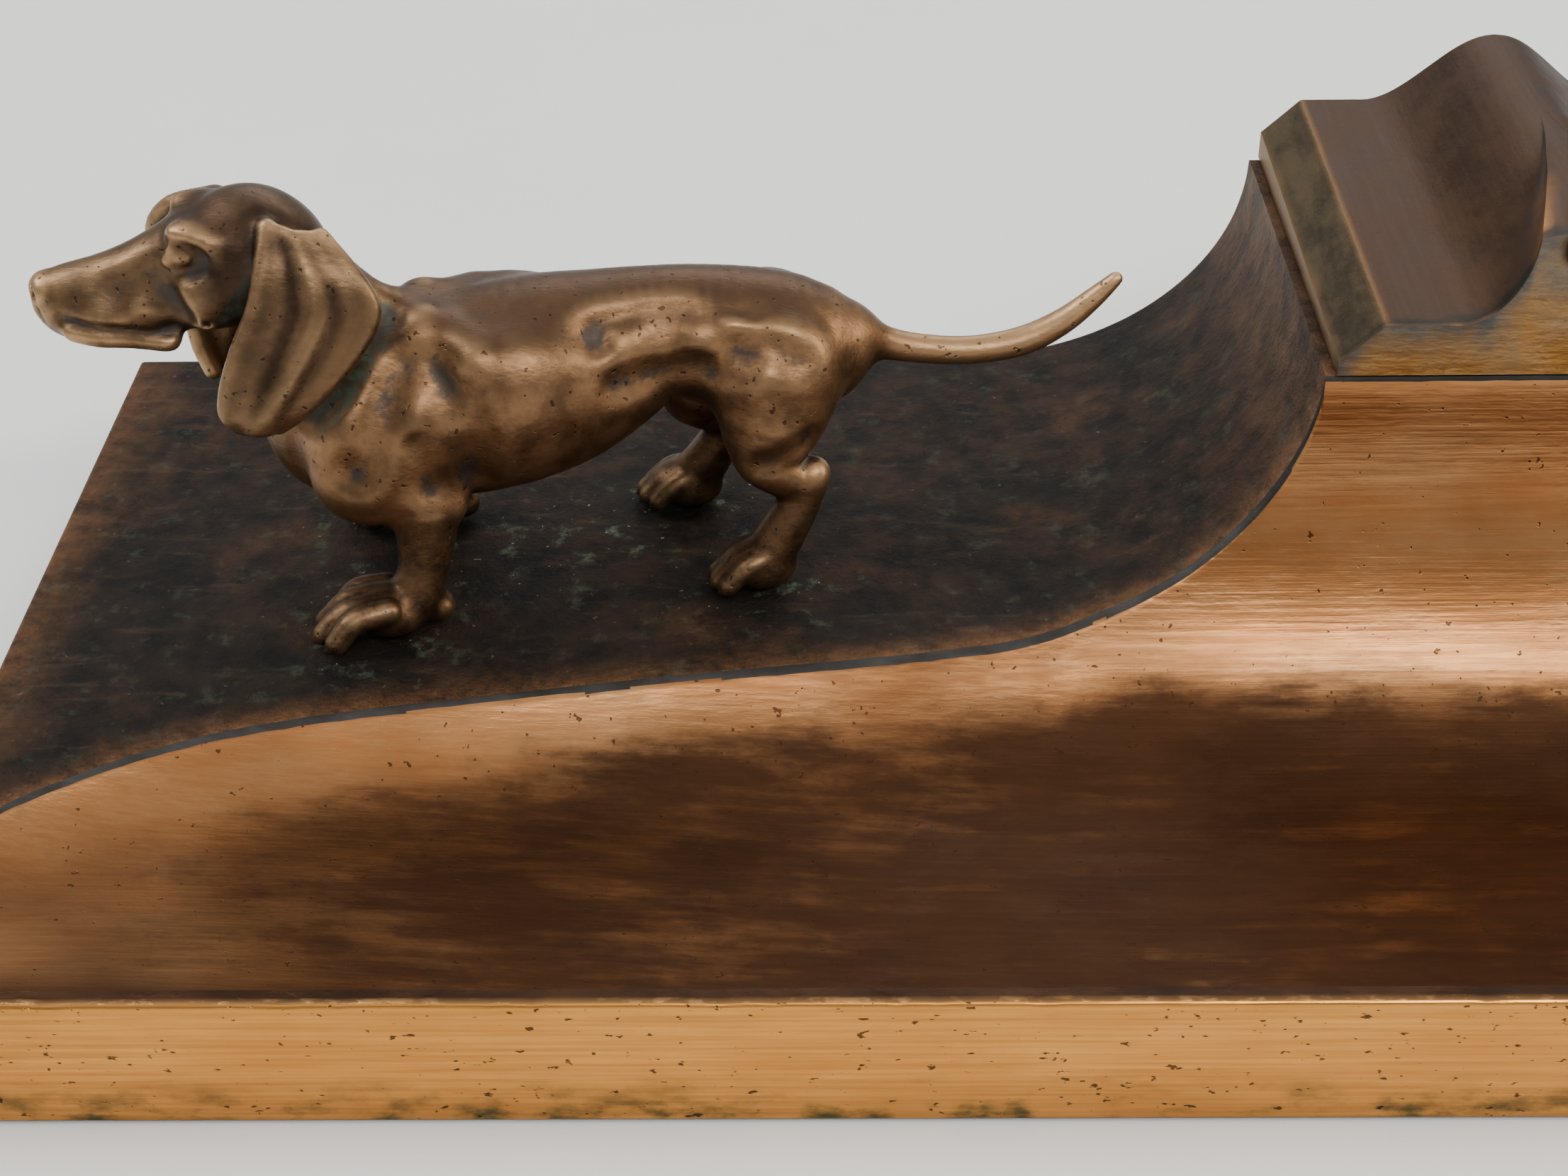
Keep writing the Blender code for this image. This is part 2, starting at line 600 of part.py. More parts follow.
def ring_tube(shape, rings, grow=0.0, sides=14):
    """Closed tube through rings of (centre, half width across the dog, half height)."""
    centres = [Vector(r[0]) for r in rings]
    loops = []
    for k, (centre, wide, tall) in enumerate(rings):
        along = centres[min(k + 1, len(rings) - 1)] - centres[max(k - 1, 0)]
        along.normalize()
        across = Vector((0, 1, 0)) - along * along.y
        across.normalize()
        up = along.cross(across)
        if k == 0:
            centre = Vector(centre) - along * grow
        if k == len(rings) - 1:
            centre = Vector(centre) + along * grow
        loop = []
        for n in range(sides):
            a = 2 * math.pi * n / sides
            place = Vector(centre) + across * (wide + grow) * math.cos(a) + up * (tall + grow) * math.sin(a)
            loop.append(shape.verts.new(place))
        loops.append(loop)
    for first, second in zip(loops, loops[1:]):
        for n in range(sides):
            m = (n + 1) % sides
            shape.faces.new((first[n], first[m], second[m], second[n]))
    shape.faces.new(loops[0][::-1])
    shape.faces.new(loops[-1])


TORSO = (((-6.8, 0, 21.0), 3.5, 4.5), ((-3.0, 0, 21.5), 8.2, 9.0), ((4, 0, 22.6), 11.6, 12.2),
         ((11, 0, 23.8), 11.9, 12.4), ((17, 0, 24.4), 11.7, 12.4), ((24, 0, 25.6), 11.2, 11.8),
         ((30, 0, 27.4), 9.8, 10.4), ((36, 0, 29.6), 8.2, 8.4), ((42, 0, 29.6), 8.6, 8.4),
         ((48, 0, 28.0), 9.8, 9.6), ((53, 0, 27.4), 9.6, 9.2), ((57.5, 0, 26.6), 7.6, 7.4),
         ((62, 0, 27.4), 3.4, 3.6))
NECK = (((8, 0, 27.5), 9.7, 10.0), ((2.0, 0, 33.0), 7.9, 7.9), ((-2.4, 0, 39.5), 6.5, 6.4),
        ((-5, 0, 44), 5.5, 5.5))
SKULL = (((0.6, 0, 45.0), 3.6, 3.8), ((-2.5, 0, 45.0), 7.0, 6.6), ((-7.6, 0, 44.4), 7.8, 8.0),
         ((-12.6, 0, 43.2), 7.0, 7.2), ((-16.8, 0, 41.4), 5.6, 6.4), ((-22.5, 0, 40.0), 4.6, 5.4),
         ((-28.0, 0, 40.2), 3.6, 4.2), ((-31.6, 0, 41.0), 2.0, 2.4))
EAR = (((-2.0, -7.2, 49.0), 1.6, 4.0), ((-0.8, -9.4, 45), 1.8, 6.2), ((-1.4, -11.0, 40), 1.9, 7.0),
       ((-4.0, -12.0, 35), 1.9, 6.6), ((-7.0, -12.6, 31), 1.6, 4.6), ((-8.0, -12.6, 29.2), 1.3, 2.4))
FAR_EAR = (((-6.4, 7.4, 47.2), 1.5, 5.0), ((-7.8, 9.2, 45), 1.8, 8.0), ((-9.0, 11.0, 41), 1.9, 9.4),
           ((-9.8, 12.2, 35), 1.9, 8.4), ((-11.4, 12.0, 29.6), 1.7, 5.6), ((-13.6, 11.0, 25), 1.3, 2.8))
FORELEG = (((6, -7.0, 21), 6.4, 8), ((9.0, -8.8, 15), 4.4, 5.2), ((9.0, -9.8, 11), 3.6, 3.8),
           ((8.3, -11.0, 7), 3.1, 3.2), ((6.8, -12.2, 3.4), 3.2, 3.2), ((6.2, -12.6, 1.0), 3.2, 3.2))
FOREPAW = (((8.6, -12.4, 1.8), 2.4, 2.2), ((4.4, -12.8, 2.6), 4.2, 3.4), ((-0.6, -13.6, 2.2), 4.4, 2.8),
           ((-3.6, -14.0, 1.2), 3.4, 1.8))
HINDLEG = (((52, -5.6, 24), 6.4, 8.6), ((50.8, -7.2, 19), 5.2, 6.6), ((50.2, -7.8, 16.4), 4.0, 4.6),
           ((54.4, -8.5, 13.6), 2.9, 3.2), ((53.8, -8.9, 10.4), 2.7, 2.9), ((51.4, -9.4, 6.2), 3.0, 3.0),
           ((50.0, -9.7, 2.4), 3.2, 3.0))
HINDPAW = (((52.6, -9.8, 1.6), 2.6, 2.2), ((49.4, -9.8, 2.6), 3.6, 3.0), ((45.8, -9.9, 2.0), 3.8, 2.6),
           ((43.4, -10.0, 1.0), 3.0, 1.6))
TAIL = (((58.5, 0, 28.8), 3.4, 3.4), ((61.5, 0, 27.8), 2.5, 2.6), ((67, 0, 25.8), 1.9, 1.9),
        ((73, 0, 24.6), 1.75, 1.75), ((78, 0, 24.4), 1.75, 1.75), ((83, 0, 25.2), 1.8, 1.8),
        ((87.5, 0, 27.4), 1.6, 1.6), ((91, 0, 30.2), 1.3, 1.3), ((94, 0, 33.0), 1.0, 1.0))
FAR_FORE_SHIFT = 3.5         # how far back the far legs stand from the near ones
FAR_HIND_SHIFT = -7.0


def far_side(rings, shift=0.0):
    return tuple(((s + shift, -t, z), wide, tall) for (s, t, z), wide, tall in rings)


def dog_frame():
    turn = Matrix.Rotation(math.radians(DOG_TURN), 4, "Z")
    place = Matrix.Translation(world((DOG_X, DEPTH - DOG_FROM_BACK, SHELF_Z + GAP)))
    return place @ turn @ Matrix.Scale(DOG_SCALE * MM, 4)


def dog_form(name, tubes, voxel, keep, material=None, collection=COLLECTION, grow=0.0):
    """One closed form from overlapping tubes, remeshed together and thinned."""
    shape = bmesh.new()
    for rings in tubes:
        ring_tube(shape, rings, grow)
    shape.transform(dog_frame())
    mesh = mesh_from(name, shape)
    thing = add(name, mesh, material, collection)
    remesh = thing.modifiers.new("remesh", "REMESH")
    remesh.mode = "VOXEL"
    remesh.voxel_size = voxel * MM
    remesh.use_smooth_shade = True
    relax = thing.modifiers.new("relax", "SMOOTH")
    relax.factor = 0.5
    relax.iterations = 3
    thin = thing.modifiers.new("thin", "DECIMATE")
    thin.ratio = keep
    return thing


BODY_TUBES = (TORSO, NECK, FORELEG, FOREPAW, HINDLEG, HINDPAW,
              far_side(FORELEG, FAR_FORE_SHIFT), far_side(FOREPAW, FAR_FORE_SHIFT),
              far_side(HINDLEG, FAR_HIND_SHIFT), far_side(HINDPAW, FAR_HIND_SHIFT))


def make_dog(bronze, base, steel):
    body = dog_form("dog_body", BODY_TUBES, 1.5, 0.34, bronze)
    grown = dog_form("dog_body_room", BODY_TUBES, 1.5, 0.5, collection=CUTTERS, grow=GAP + 0.35)
    head = dog_form("dog_head", (SKULL,), 1.2, 0.4, bronze)
    boolean(head, grown)
    skull_room = dog_form("dog_head_room", (SKULL,), 1.1, 0.5, collection=CUTTERS, grow=GAP + 0.3)
    for name, rings in (("dog_ear_left", EAR), ("dog_ear_right", FAR_EAR)):
        ear = dog_form(name, (rings,), 1.0, 0.35, bronze)
        boolean(ear, grown)
        boolean(ear, skull_room)
    tail = dog_form("dog_tail", (TAIL,), 0.9, 0.4, bronze)
    boolean(tail, grown)
    floor = box("dog_floor", (0, 20, 5), (150, 140, SHELF_Z + GAP), collection=CUTTERS)
    boolean(body, floor)
    frame = dog_frame()
    feet = ((4.4, -12.8), (49.4 + FAR_HIND_SHIFT, 9.8))
    for k, (s, t) in enumerate(feet):
        spot = frame @ Vector((s, t, 0)) / MM + ORIGIN
        under = SHELF_Z - WALL - GAP
        head_z = under - DOG_WASHER_THICK - GAP
        length = DOG_SCREW_LENGTH
        profile = [(0.0, length), (DOG_SCREW_RADIUS, length - 0.5), (DOG_SCREW_RADIUS, 0.0),
                   (2.3, 0.0), (2.1, -0.9), (1.2, -1.5), (0.0, -1.7)]
        turned(f"dog_screw_{k + 1}", profile, (spot.x, spot.y, head_z), steel, steps=20)
        ring = [(DOG_SCREW_RADIUS + GAP, 0.0), (DOG_SCREW_RADIUS + GAP, DOG_WASHER_THICK),
                (DOG_WASHER_RADIUS, DOG_WASHER_THICK), (DOG_WASHER_RADIUS, 0.0),
                (DOG_SCREW_RADIUS + GAP, 0.0)]
        turned(f"dog_washer_{k + 1}", ring, (spot.x, spot.y, head_z + GAP), steel, steps=24)
        hole = cylinder(f"dog_hole_{k + 1}", DOG_SCREW_RADIUS + GAP, (spot.x, spot.y, head_z - 0.2),
                        length + 0.6, collection=CUTTERS, sides=20)
        boolean(base, hole)
        boolean(body, hole)


def main():
    start()
    bronze = finish_of("patinated_bronze", (0.33, 0.19, 0.09), 0.38, 1.0)
    dog_bronze = finish_of("rubbed_bronze", (0.42, 0.23, 0.10), 0.3, 1.0)
    brass = finish_of("hinge_brass", (0.55, 0.40, 0.18), 0.35, 1.0)
    steel = finish_of("screw_steel", (0.45, 0.44, 0.42), 0.4, 1.0)
    glass = finish_of("liner_glass", (0.8, 0.86, 0.84), 0.05, 0.0)
    board_material = finish_of("board_wood", (0.22, 0.13, 0.07), 0.7, 0.0)
    baize = finish_of("green_baize", (0.04, 0.13, 0.06), 0.95, 0.0)
    base = make_base(bronze)
    lid = make_lid(bronze)
    make_thumb_piece(bronze)
    base_leaf, lid_leaf = make_hinge(brass, steel)
    low = HINGE_Z - KNUCKLE_RADIUS - GAP - LEAF_HEIGHT * 0.5
    high = HINGE_Z + KNUCKLE_RADIUS + GAP + LEAF_HEIGHT * 0.5
    for k, shift in enumerate((-6.5, 0.0, 6.5)):
        hinge_screw(f"hinge_base_screw_{k + 1}", WELL_X + shift, low, steel, (base_leaf, base))
    for k, shift in enumerate((-6.0, 6.0)):
        hinge_screw(f"hinge_lid_screw_{k + 1}", WELL_X + shift, high, steel, (lid_leaf, lid))
    make_liner(glass)
    make_underside(base, board_material, baize, bronze, steel)
    make_dog(dog_bronze, base, steel)


main()
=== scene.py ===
"""Bronze desk inkstand with a standing dachshund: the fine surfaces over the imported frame.

Lengths written in this file are millimetres in the casting's own measure: x from its left end,
y back from its front face, z up from the surface that it stands on.
"""

import math

import bmesh
import bpy
import numpy as np
from mathutils import Matrix, Vector, noise

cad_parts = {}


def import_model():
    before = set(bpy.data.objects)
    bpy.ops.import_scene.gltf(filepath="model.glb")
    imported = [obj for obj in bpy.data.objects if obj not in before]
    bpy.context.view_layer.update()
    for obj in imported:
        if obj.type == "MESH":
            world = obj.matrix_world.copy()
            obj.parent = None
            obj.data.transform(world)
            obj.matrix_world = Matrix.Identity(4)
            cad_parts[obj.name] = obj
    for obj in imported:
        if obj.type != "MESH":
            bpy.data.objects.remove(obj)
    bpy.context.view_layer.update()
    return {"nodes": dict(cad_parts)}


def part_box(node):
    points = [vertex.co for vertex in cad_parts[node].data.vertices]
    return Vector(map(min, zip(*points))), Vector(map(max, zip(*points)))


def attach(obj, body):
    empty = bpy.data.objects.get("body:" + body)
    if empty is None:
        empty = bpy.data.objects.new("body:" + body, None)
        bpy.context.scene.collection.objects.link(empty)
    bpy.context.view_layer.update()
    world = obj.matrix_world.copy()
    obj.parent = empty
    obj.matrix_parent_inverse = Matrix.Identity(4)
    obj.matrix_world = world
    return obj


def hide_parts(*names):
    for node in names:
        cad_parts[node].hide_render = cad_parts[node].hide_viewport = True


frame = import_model()

bl_info = {
    "name": "Bronze inkstand with dachshund",
    "version": (1, 0, 0),
    "blender": (4, 5, 0),
    "location": "3D View > Sidebar > Inkstand",
    "description": "Builds a bronze pen tray, a hinged inkwell lid and a dachshund on its shelf",
    "category": "Object",
}

MM = 0.001
BASE_LOW, BASE_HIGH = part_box("base_casting")
LID_LOW, LID_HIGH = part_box("lid_casting")
LENGTH = (BASE_HIGH[0] - BASE_LOW[0]) / MM
DEPTH = (BASE_HIGH[1] - BASE_LOW[1]) / MM
SKIRT_Z = BASE_LOW[2] / MM
HOUSING_TOP = BASE_HIGH[2] / MM
SEAM_Z = LID_LOW[2] / MM
LID_LEFT = (LID_LOW[0] - BASE_LOW[0]) / MM
LID_RIGHT = (LID_HIGH[0] - BASE_LOW[0]) / MM
LID_LEDGE = 1.2
HOUSING_LEFT = LID_LEFT - LID_LEDGE
HOUSING_RIGHT = LID_RIGHT + LID_LEDGE
HOUSING_FRONT = (LID_LOW[1] - BASE_LOW[1]) / MM
WELL_X = (LID_LEFT + LID_RIGHT) / 2
WELL_Y = (HOUSING_FRONT + DEPTH) / 2

SHELF_Z = 16.9
RIM = 2.2
WALL = 2.2
RECESS_Z = 3.8
SWOOP_START = HOUSING_LEFT - 37.0
SHELF_LINE = ((2.2, 0.317), (9.0, 0.446), (28.0, 0.604), (60.0, 0.705), (109.0, 0.814))
TRAY_LEFT_DEPTH = 4.4
TRAY_RIGHT_DEPTH = 10.9
TRAY_LEFT_END = 12.0
TRAY_RIGHT_END = 16.0
FRONT_SWEEP = 9.0
BACK_SWEEP = 30.0
SWEEP_RISE = 36.0
SWEEP_LEFT = HOUSING_LEFT - 25.0
WELL_RADIUS = 19.8

LID_SIDE = 1.8
LID_CHAMFER = 4.8
LID_RISE = 6.4
LID_WALL = 2.0
LID_TILT = 1.7
HOOD_HALF = 16.2
HOOD_CREST = ((0.0, 10.6), (0.5, 9.7), (1.0, 8.8))
HOOD_EDGE = ((0.0, 8.6), (0.2, 5.2), (0.33, 3.2), (0.57, 0.5), (1.0, 0.2))
HOOD_SOFT = 0.6
HOOD_CROWN = 0.7

DOG_X = 40.0
DOG_Y = 75.0
DOG_TURN = 8.0
DOG_Z = SHELF_Z + 0.3


# ---------------------------------------------------------------- places, shapes, mesh making

def world(point):
    """A place in the casting's millimetres as metres in the frame."""
    return Vector((BASE_LOW[0] + point[0] * MM, BASE_LOW[1] + point[1] * MM, point[2] * MM))


def ease(value, low, high):
    t = np.clip((value - low) / (high - low), 0.0, 1.0)
    return t * t * (3 - 2 * t)


def arch(t):
    return math.sqrt(max(0.0, 1 - min(max(t, 0.0), 1.0) ** 2))


def rough_at(point, size, seed=0.0):
    """Smooth noise between -1 and 1 whose lumps are about size millimetres across."""
    return noise.noise(Vector(point) / size + Vector((seed, seed * 1.7, seed * 0.6)))


def new_object(name, mesh):
    thing = bpy.data.objects.new(name, mesh)
    bpy.context.scene.collection.objects.link(thing)
    return thing


def put_on(thing, body, slot, *nodes):
    """The piece moves with a body and stands for CAD nodes; its slot is not used."""
    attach(thing, body)
    if nodes:
        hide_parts(*nodes)
    return thing


def smooth_shade(mesh, sharp=40.0):
    mesh.shade_smooth()
    mesh.set_sharp_from_angle(angle=math.radians(sharp))


def set_values(mesh, name, values):
    """Stores one number at each corner point of a mesh, for its material to read."""
    layer = mesh.attributes.new(name, "FLOAT", "POINT")
    layer.data.foreach_set("value", np.asarray(values, dtype=np.float32))


def mesh_places(mesh):
    """Corner points of a mesh in the casting's millimetres, one row each."""
    flat = np.empty(len(mesh.vertices) * 3, dtype=np.float32)
    mesh.vertices.foreach_get("co", flat)
    places = flat.reshape(-1, 3).astype(np.float64)
    return (places - np.array([BASE_LOW[0], BASE_LOW[1], 0.0])) / MM


def block_mesh(name, grid, floor_z):
    """A closed block: its top is a grid of points, its sides are upright, its underside is flat."""
    rows, columns = len(grid), len(grid[0])
    shape = bmesh.new()
    top = [[shape.verts.new(world(p)) for p in row] for row in grid]
    border = [top[0][j] for j in range(columns)] + [top[i][-1] for i in range(1, rows)]
    border += [top[-1][j] for j in range(columns - 2, -1, -1)] + [top[i][0] for i in range(rows - 2, 0, -1)]
    for i in range(rows - 1):
        for j in range(columns - 1):
            shape.faces.new((top[i][j], top[i + 1][j], top[i + 1][j + 1], top[i][j + 1]))
    low = []
    for corner in border:
        low.append(shape.verts.new((corner.co.x, corner.co.y, floor_z * MM)))
    count = len(border)
    for k in range(count):
        m = (k + 1) % count
        shape.faces.new((border[k], border[m], low[m], low[k]))
    shape.faces.new(low[::-1])
    bmesh.ops.recalc_face_normals(shape, faces=shape.faces)
    mesh = bpy.data.meshes.new(name)
    shape.to_mesh(mesh)
    shape.free()
    return mesh


def carved(name, mesh, cutters):
    """The mesh less its cutters, as a new mesh."""
    thing = new_object(name, mesh)
    for cutter in cutters:
        step = thing.modifiers.new(cutter.name, "BOOLEAN")
        step.operation = "DIFFERENCE"
        step.solver = "EXACT"
        step.object = cutter
    bpy.context.view_layer.update()
    made = bpy.data.meshes.new_from_object(thing.evaluated_get(bpy.context.evaluated_depsgraph_get()))
    bpy.data.objects.remove(thing, do_unlink=True)
    for cutter in cutters:
        bpy.data.objects.remove(cutter, do_unlink=True)
    return made


def underside_grid(xs, ys, height, wall, lowest):
    """Underside of a casting: its top moved in by the wall thickness, never below lowest."""
    ball = [(0.0, 0.0)]
    ball += [(wall * r * math.cos(math.radians(a)), wall * r * math.sin(math.radians(a)))
             for r in (0.6, 0.95) for a in range(0, 360, 45)]
    cache = {}
    grid = []
    for x in xs:
        row = []
        for y in ys:
            heights = []
            for u, v in ball:
                key = round(x + u, 3)
                if key not in cache:
                    cache[key] = height(key)
                section_y, section_z = cache[key]
                lift = math.sqrt(max(0.0, wall**2 - u**2 - v**2))
                heights.append(float(np.interp(y + v, section_y, section_z)) - lift)
            row.append((x, y, max(lowest, min(heights))))
        grid.append(row)
    return grid


# ---------------------------------------------------------------- materials

def linear(code):
    """An sRGB hex colour as linear light."""
    parts = [int(code[k:k + 2], 16) / 255 for k in (1, 3, 5)]
    return tuple(p / 12.92 if p <= 0.04045 else ((p + 0.055) / 1.055) ** 2.4 for p in parts) + (1.0,)


def add(tree, kind, inputs=(), stops=(), output=0, **settings):
    """Adds a node: inputs are (socket, value, hex colour or output to link), stops fill a colour ramp."""
    made = tree.nodes.new(kind)
    for key, value in settings.items():
        setattr(made, key, value)
    for socket, value in inputs:
        if isinstance(value, bpy.types.NodeSocket):
            tree.links.new(value, made.inputs[socket])
        else:
            made.inputs[socket].default_value = linear(value) if isinstance(value, str) else value
    if stops:
        elements = made.color_ramp.elements
        while len(elements) < len(stops):
            elements.new(0.5)
        for element, (place, colour) in zip(elements, stops):
            element.position = place
            element.color = colour
    return made.outputs[output] if made.outputs else made


def grey(level):
    return (level, level, level, 1.0)


def new_material(name):
    material = bpy.data.materials.new(name)
    material.use_nodes = True
    tree = material.node_tree
    tree.nodes.clear()
    return material, tree


def per_mm(size):
    """Texture scale that makes a pattern's repeat about size millimetres."""
    return 1.0 / (size * MM)


def stretched(tree, along):
    """Object place with one direction drawn out, for streaks and brush marks."""
    place = add(tree, "ShaderNodeTexCoord")
    place = place.node.outputs["Object"]
    return add(tree, "ShaderNodeVectorMath", [(0, place), (1, along)], operation="MULTIPLY")


def speckle(tree, size, low, high, detail=6.0, rough=0.6, along=(1, 1, 1), shift=0.0):
    """Noise cut to a mask between 0 and 1, with lumps about size millimetres across."""
    place = stretched(tree, along)
    moved = add(tree, "ShaderNodeVectorMath", [(0, place), (1, (shift, shift * 0.7, shift * 1.3))],
                operation="ADD")
    level = add(tree, "ShaderNodeTexNoise", [("Vector", moved), ("Scale", per_mm(size)),
                                             ("Detail", detail), ("Roughness", rough)])
    return add(tree, "ShaderNodeMapRange", [("Value", level), (1, low), (2, high)],
               interpolation_type="SMOOTHSTEP")


def finish_metal(tree, colour, roughness, metallic, bumps, ior=None):
    """Principled metal with stacked bumps: each is (height, distance in mm, strength)."""
    normal = None
    for height, distance, strength in bumps:
        made = tree.nodes.new("ShaderNodeBump")
        made.inputs["Strength"].default_value = strength
        made.inputs["Distance"].default_value = distance * MM
        tree.links.new(height, made.inputs["Height"])
        if normal is not None:
            tree.links.new(normal, made.inputs["Normal"])
        normal = made.outputs["Normal"]
    shader = tree.nodes.new("ShaderNodeBsdfPrincipled")
    for socket, value in (("Base Color", colour), ("Roughness", roughness), ("Metallic", metallic)):
        if isinstance(value, bpy.types.NodeSocket):
            tree.links.new(value, shader.inputs[socket])
        else:
            shader.inputs[socket].default_value = value
        shader.inputs["Coat Roughness"].default_value = 0.2
    if ior is not None:
        shader.inputs["IOR"].default_value = ior
    if normal is not None:
        tree.links.new(normal, shader.inputs["Normal"])
    out = tree.nodes.new("ShaderNodeOutputMaterial")
    tree.links.new(shader.outputs[0], out.inputs["Surface"])
    return shader


def cast_shelf_bronze(look):
    """Sand-cast bronze, left rough and chemically browned: dull, almost black, rubbed on its lumps."""
    material, tree = new_material("sand_cast_bronze_dark_patina")
    lumps = speckle(tree, 5.0, 0.30, 0.72, rough=0.68)
    grain = speckle(tree, 1.2, 0.25, 0.75, rough=0.75)
    cloud = speckle(tree, 26.0, 0.38, 0.66, shift=0.4)
    streak = speckle(tree, 2.2, 0.56, 0.72, along=(0.22, 1.0, 1.0), shift=1.2)
    rub = add(tree, "ShaderNodeAttribute", output="Fac", attribute_name="rub")
    dirt = add(tree, "ShaderNodeAttribute", output="Fac", attribute_name="dirt")
    colour = add(tree, "ShaderNodeMix", [(0, lumps), (6, look["patina_dark"]), (7, look["patina_brown"])],
                 output=2, data_type="RGBA")
    warm = add(tree, "ShaderNodeMath", [(0, cloud), (1, lumps)], operation="MULTIPLY")
    colour = add(tree, "ShaderNodeMix",
                 [(0, add(tree, "ShaderNodeMath", [(0, warm), (1, 0.6)], operation="MULTIPLY")),
                  (6, colour), (7, "#4A3222")],
                 output=2, data_type="RGBA")
    wear = add(tree, "ShaderNodeMath",
               [(0, rub), (1, add(tree, "ShaderNodeMath", [(0, grain), (1, lumps)], operation="ADD"))],
               operation="MULTIPLY", use_clamp=True)
    colour = add(tree, "ShaderNodeMix", [(0, wear), (6, colour), (7, look["rubbed"])], output=2,
                 data_type="RGBA")
    green = speckle(tree, 4.2, 0.54, 0.68, rough=0.75, shift=2.3)
    green = add(tree, "ShaderNodeMath",
                [(0, green),
                 (1,
                  add(tree, "ShaderNodeMath", [(0, dirt), (1, 0.5), (2, 0.14)], operation="MULTIPLY_ADD"))],
                operation="MULTIPLY", use_clamp=True)
    colour = add(tree, "ShaderNodeMix", [(0, green), (6, colour), (7, look["verdigris"])], output=2,
                 data_type="RGBA")
    specks = speckle(tree, 0.9, 0.705, 0.74, detail=2.0, shift=4.1)
    near = add(tree, "ShaderNodeMath", [(0, dirt), (1, 0.9), (2, 0.12)], operation="MULTIPLY_ADD")
    colour = add(tree, "ShaderNodeMix",
                 [(0, add(tree, "ShaderNodeMath", [(0, specks), (1, near)], operation="MULTIPLY")),
                  (6, colour), (7, "#B9B49F")],
                 output=2, data_type="RGBA")
    colour = add(tree, "ShaderNodeMix",
                 [(0, add(tree, "ShaderNodeMath", [(0, streak), (1, 0.22)], operation="MULTIPLY")),
                  (6, colour), (7, "#6A543F")],
                 output=2, data_type="RGBA")
    roughness = add(tree, "ShaderNodeMapRange", [("Value", wear), (3, 0.56), (4, 0.36)])
    roughness = add(tree, "ShaderNodeMath", [(0, grain), (1, 0.1), (2, roughness)],
                    operation="MULTIPLY_ADD")
    fine = speckle(tree, 0.45, 0.0, 1.0, rough=0.7)
    finish_metal(tree, colour, roughness, 0.72,
                 [(lumps, 0.55, 0.55), (grain, 0.25, 0.6), (fine, 0.08, 0.5)])
    return material


def burnished_edge_bronze(look):
    """Bronze edge rounded over and burnished by hands: smooth, blue-grey, a little glossy."""
    material, tree = new_material("burnished_bronze_edge")
    cloud = speckle(tree, 7.0, 0.35, 0.7)
    fine = speckle(tree, 0.8, 0.3, 0.8, along=(0.2, 1, 1))
    colour = add(tree, "ShaderNodeMix", [(0, cloud), (6, "#34322F"), (7, "#4B4845")], output=2,
                 data_type="RGBA")
    colour = add(tree, "ShaderNodeMix",
                 [(0, add(tree, "ShaderNodeMath", [(0, fine), (1, 0.4)], operation="MULTIPLY")),
                  (6, colour), (7, "#282420")],
                 output=2, data_type="RGBA")
    roughness = add(tree, "ShaderNodeMapRange", [("Value", cloud), (3, 0.58), (4, 0.68)])
    finish_metal(tree, colour, roughness, 0.8, [(fine, 0.05, 0.35)])
    return material


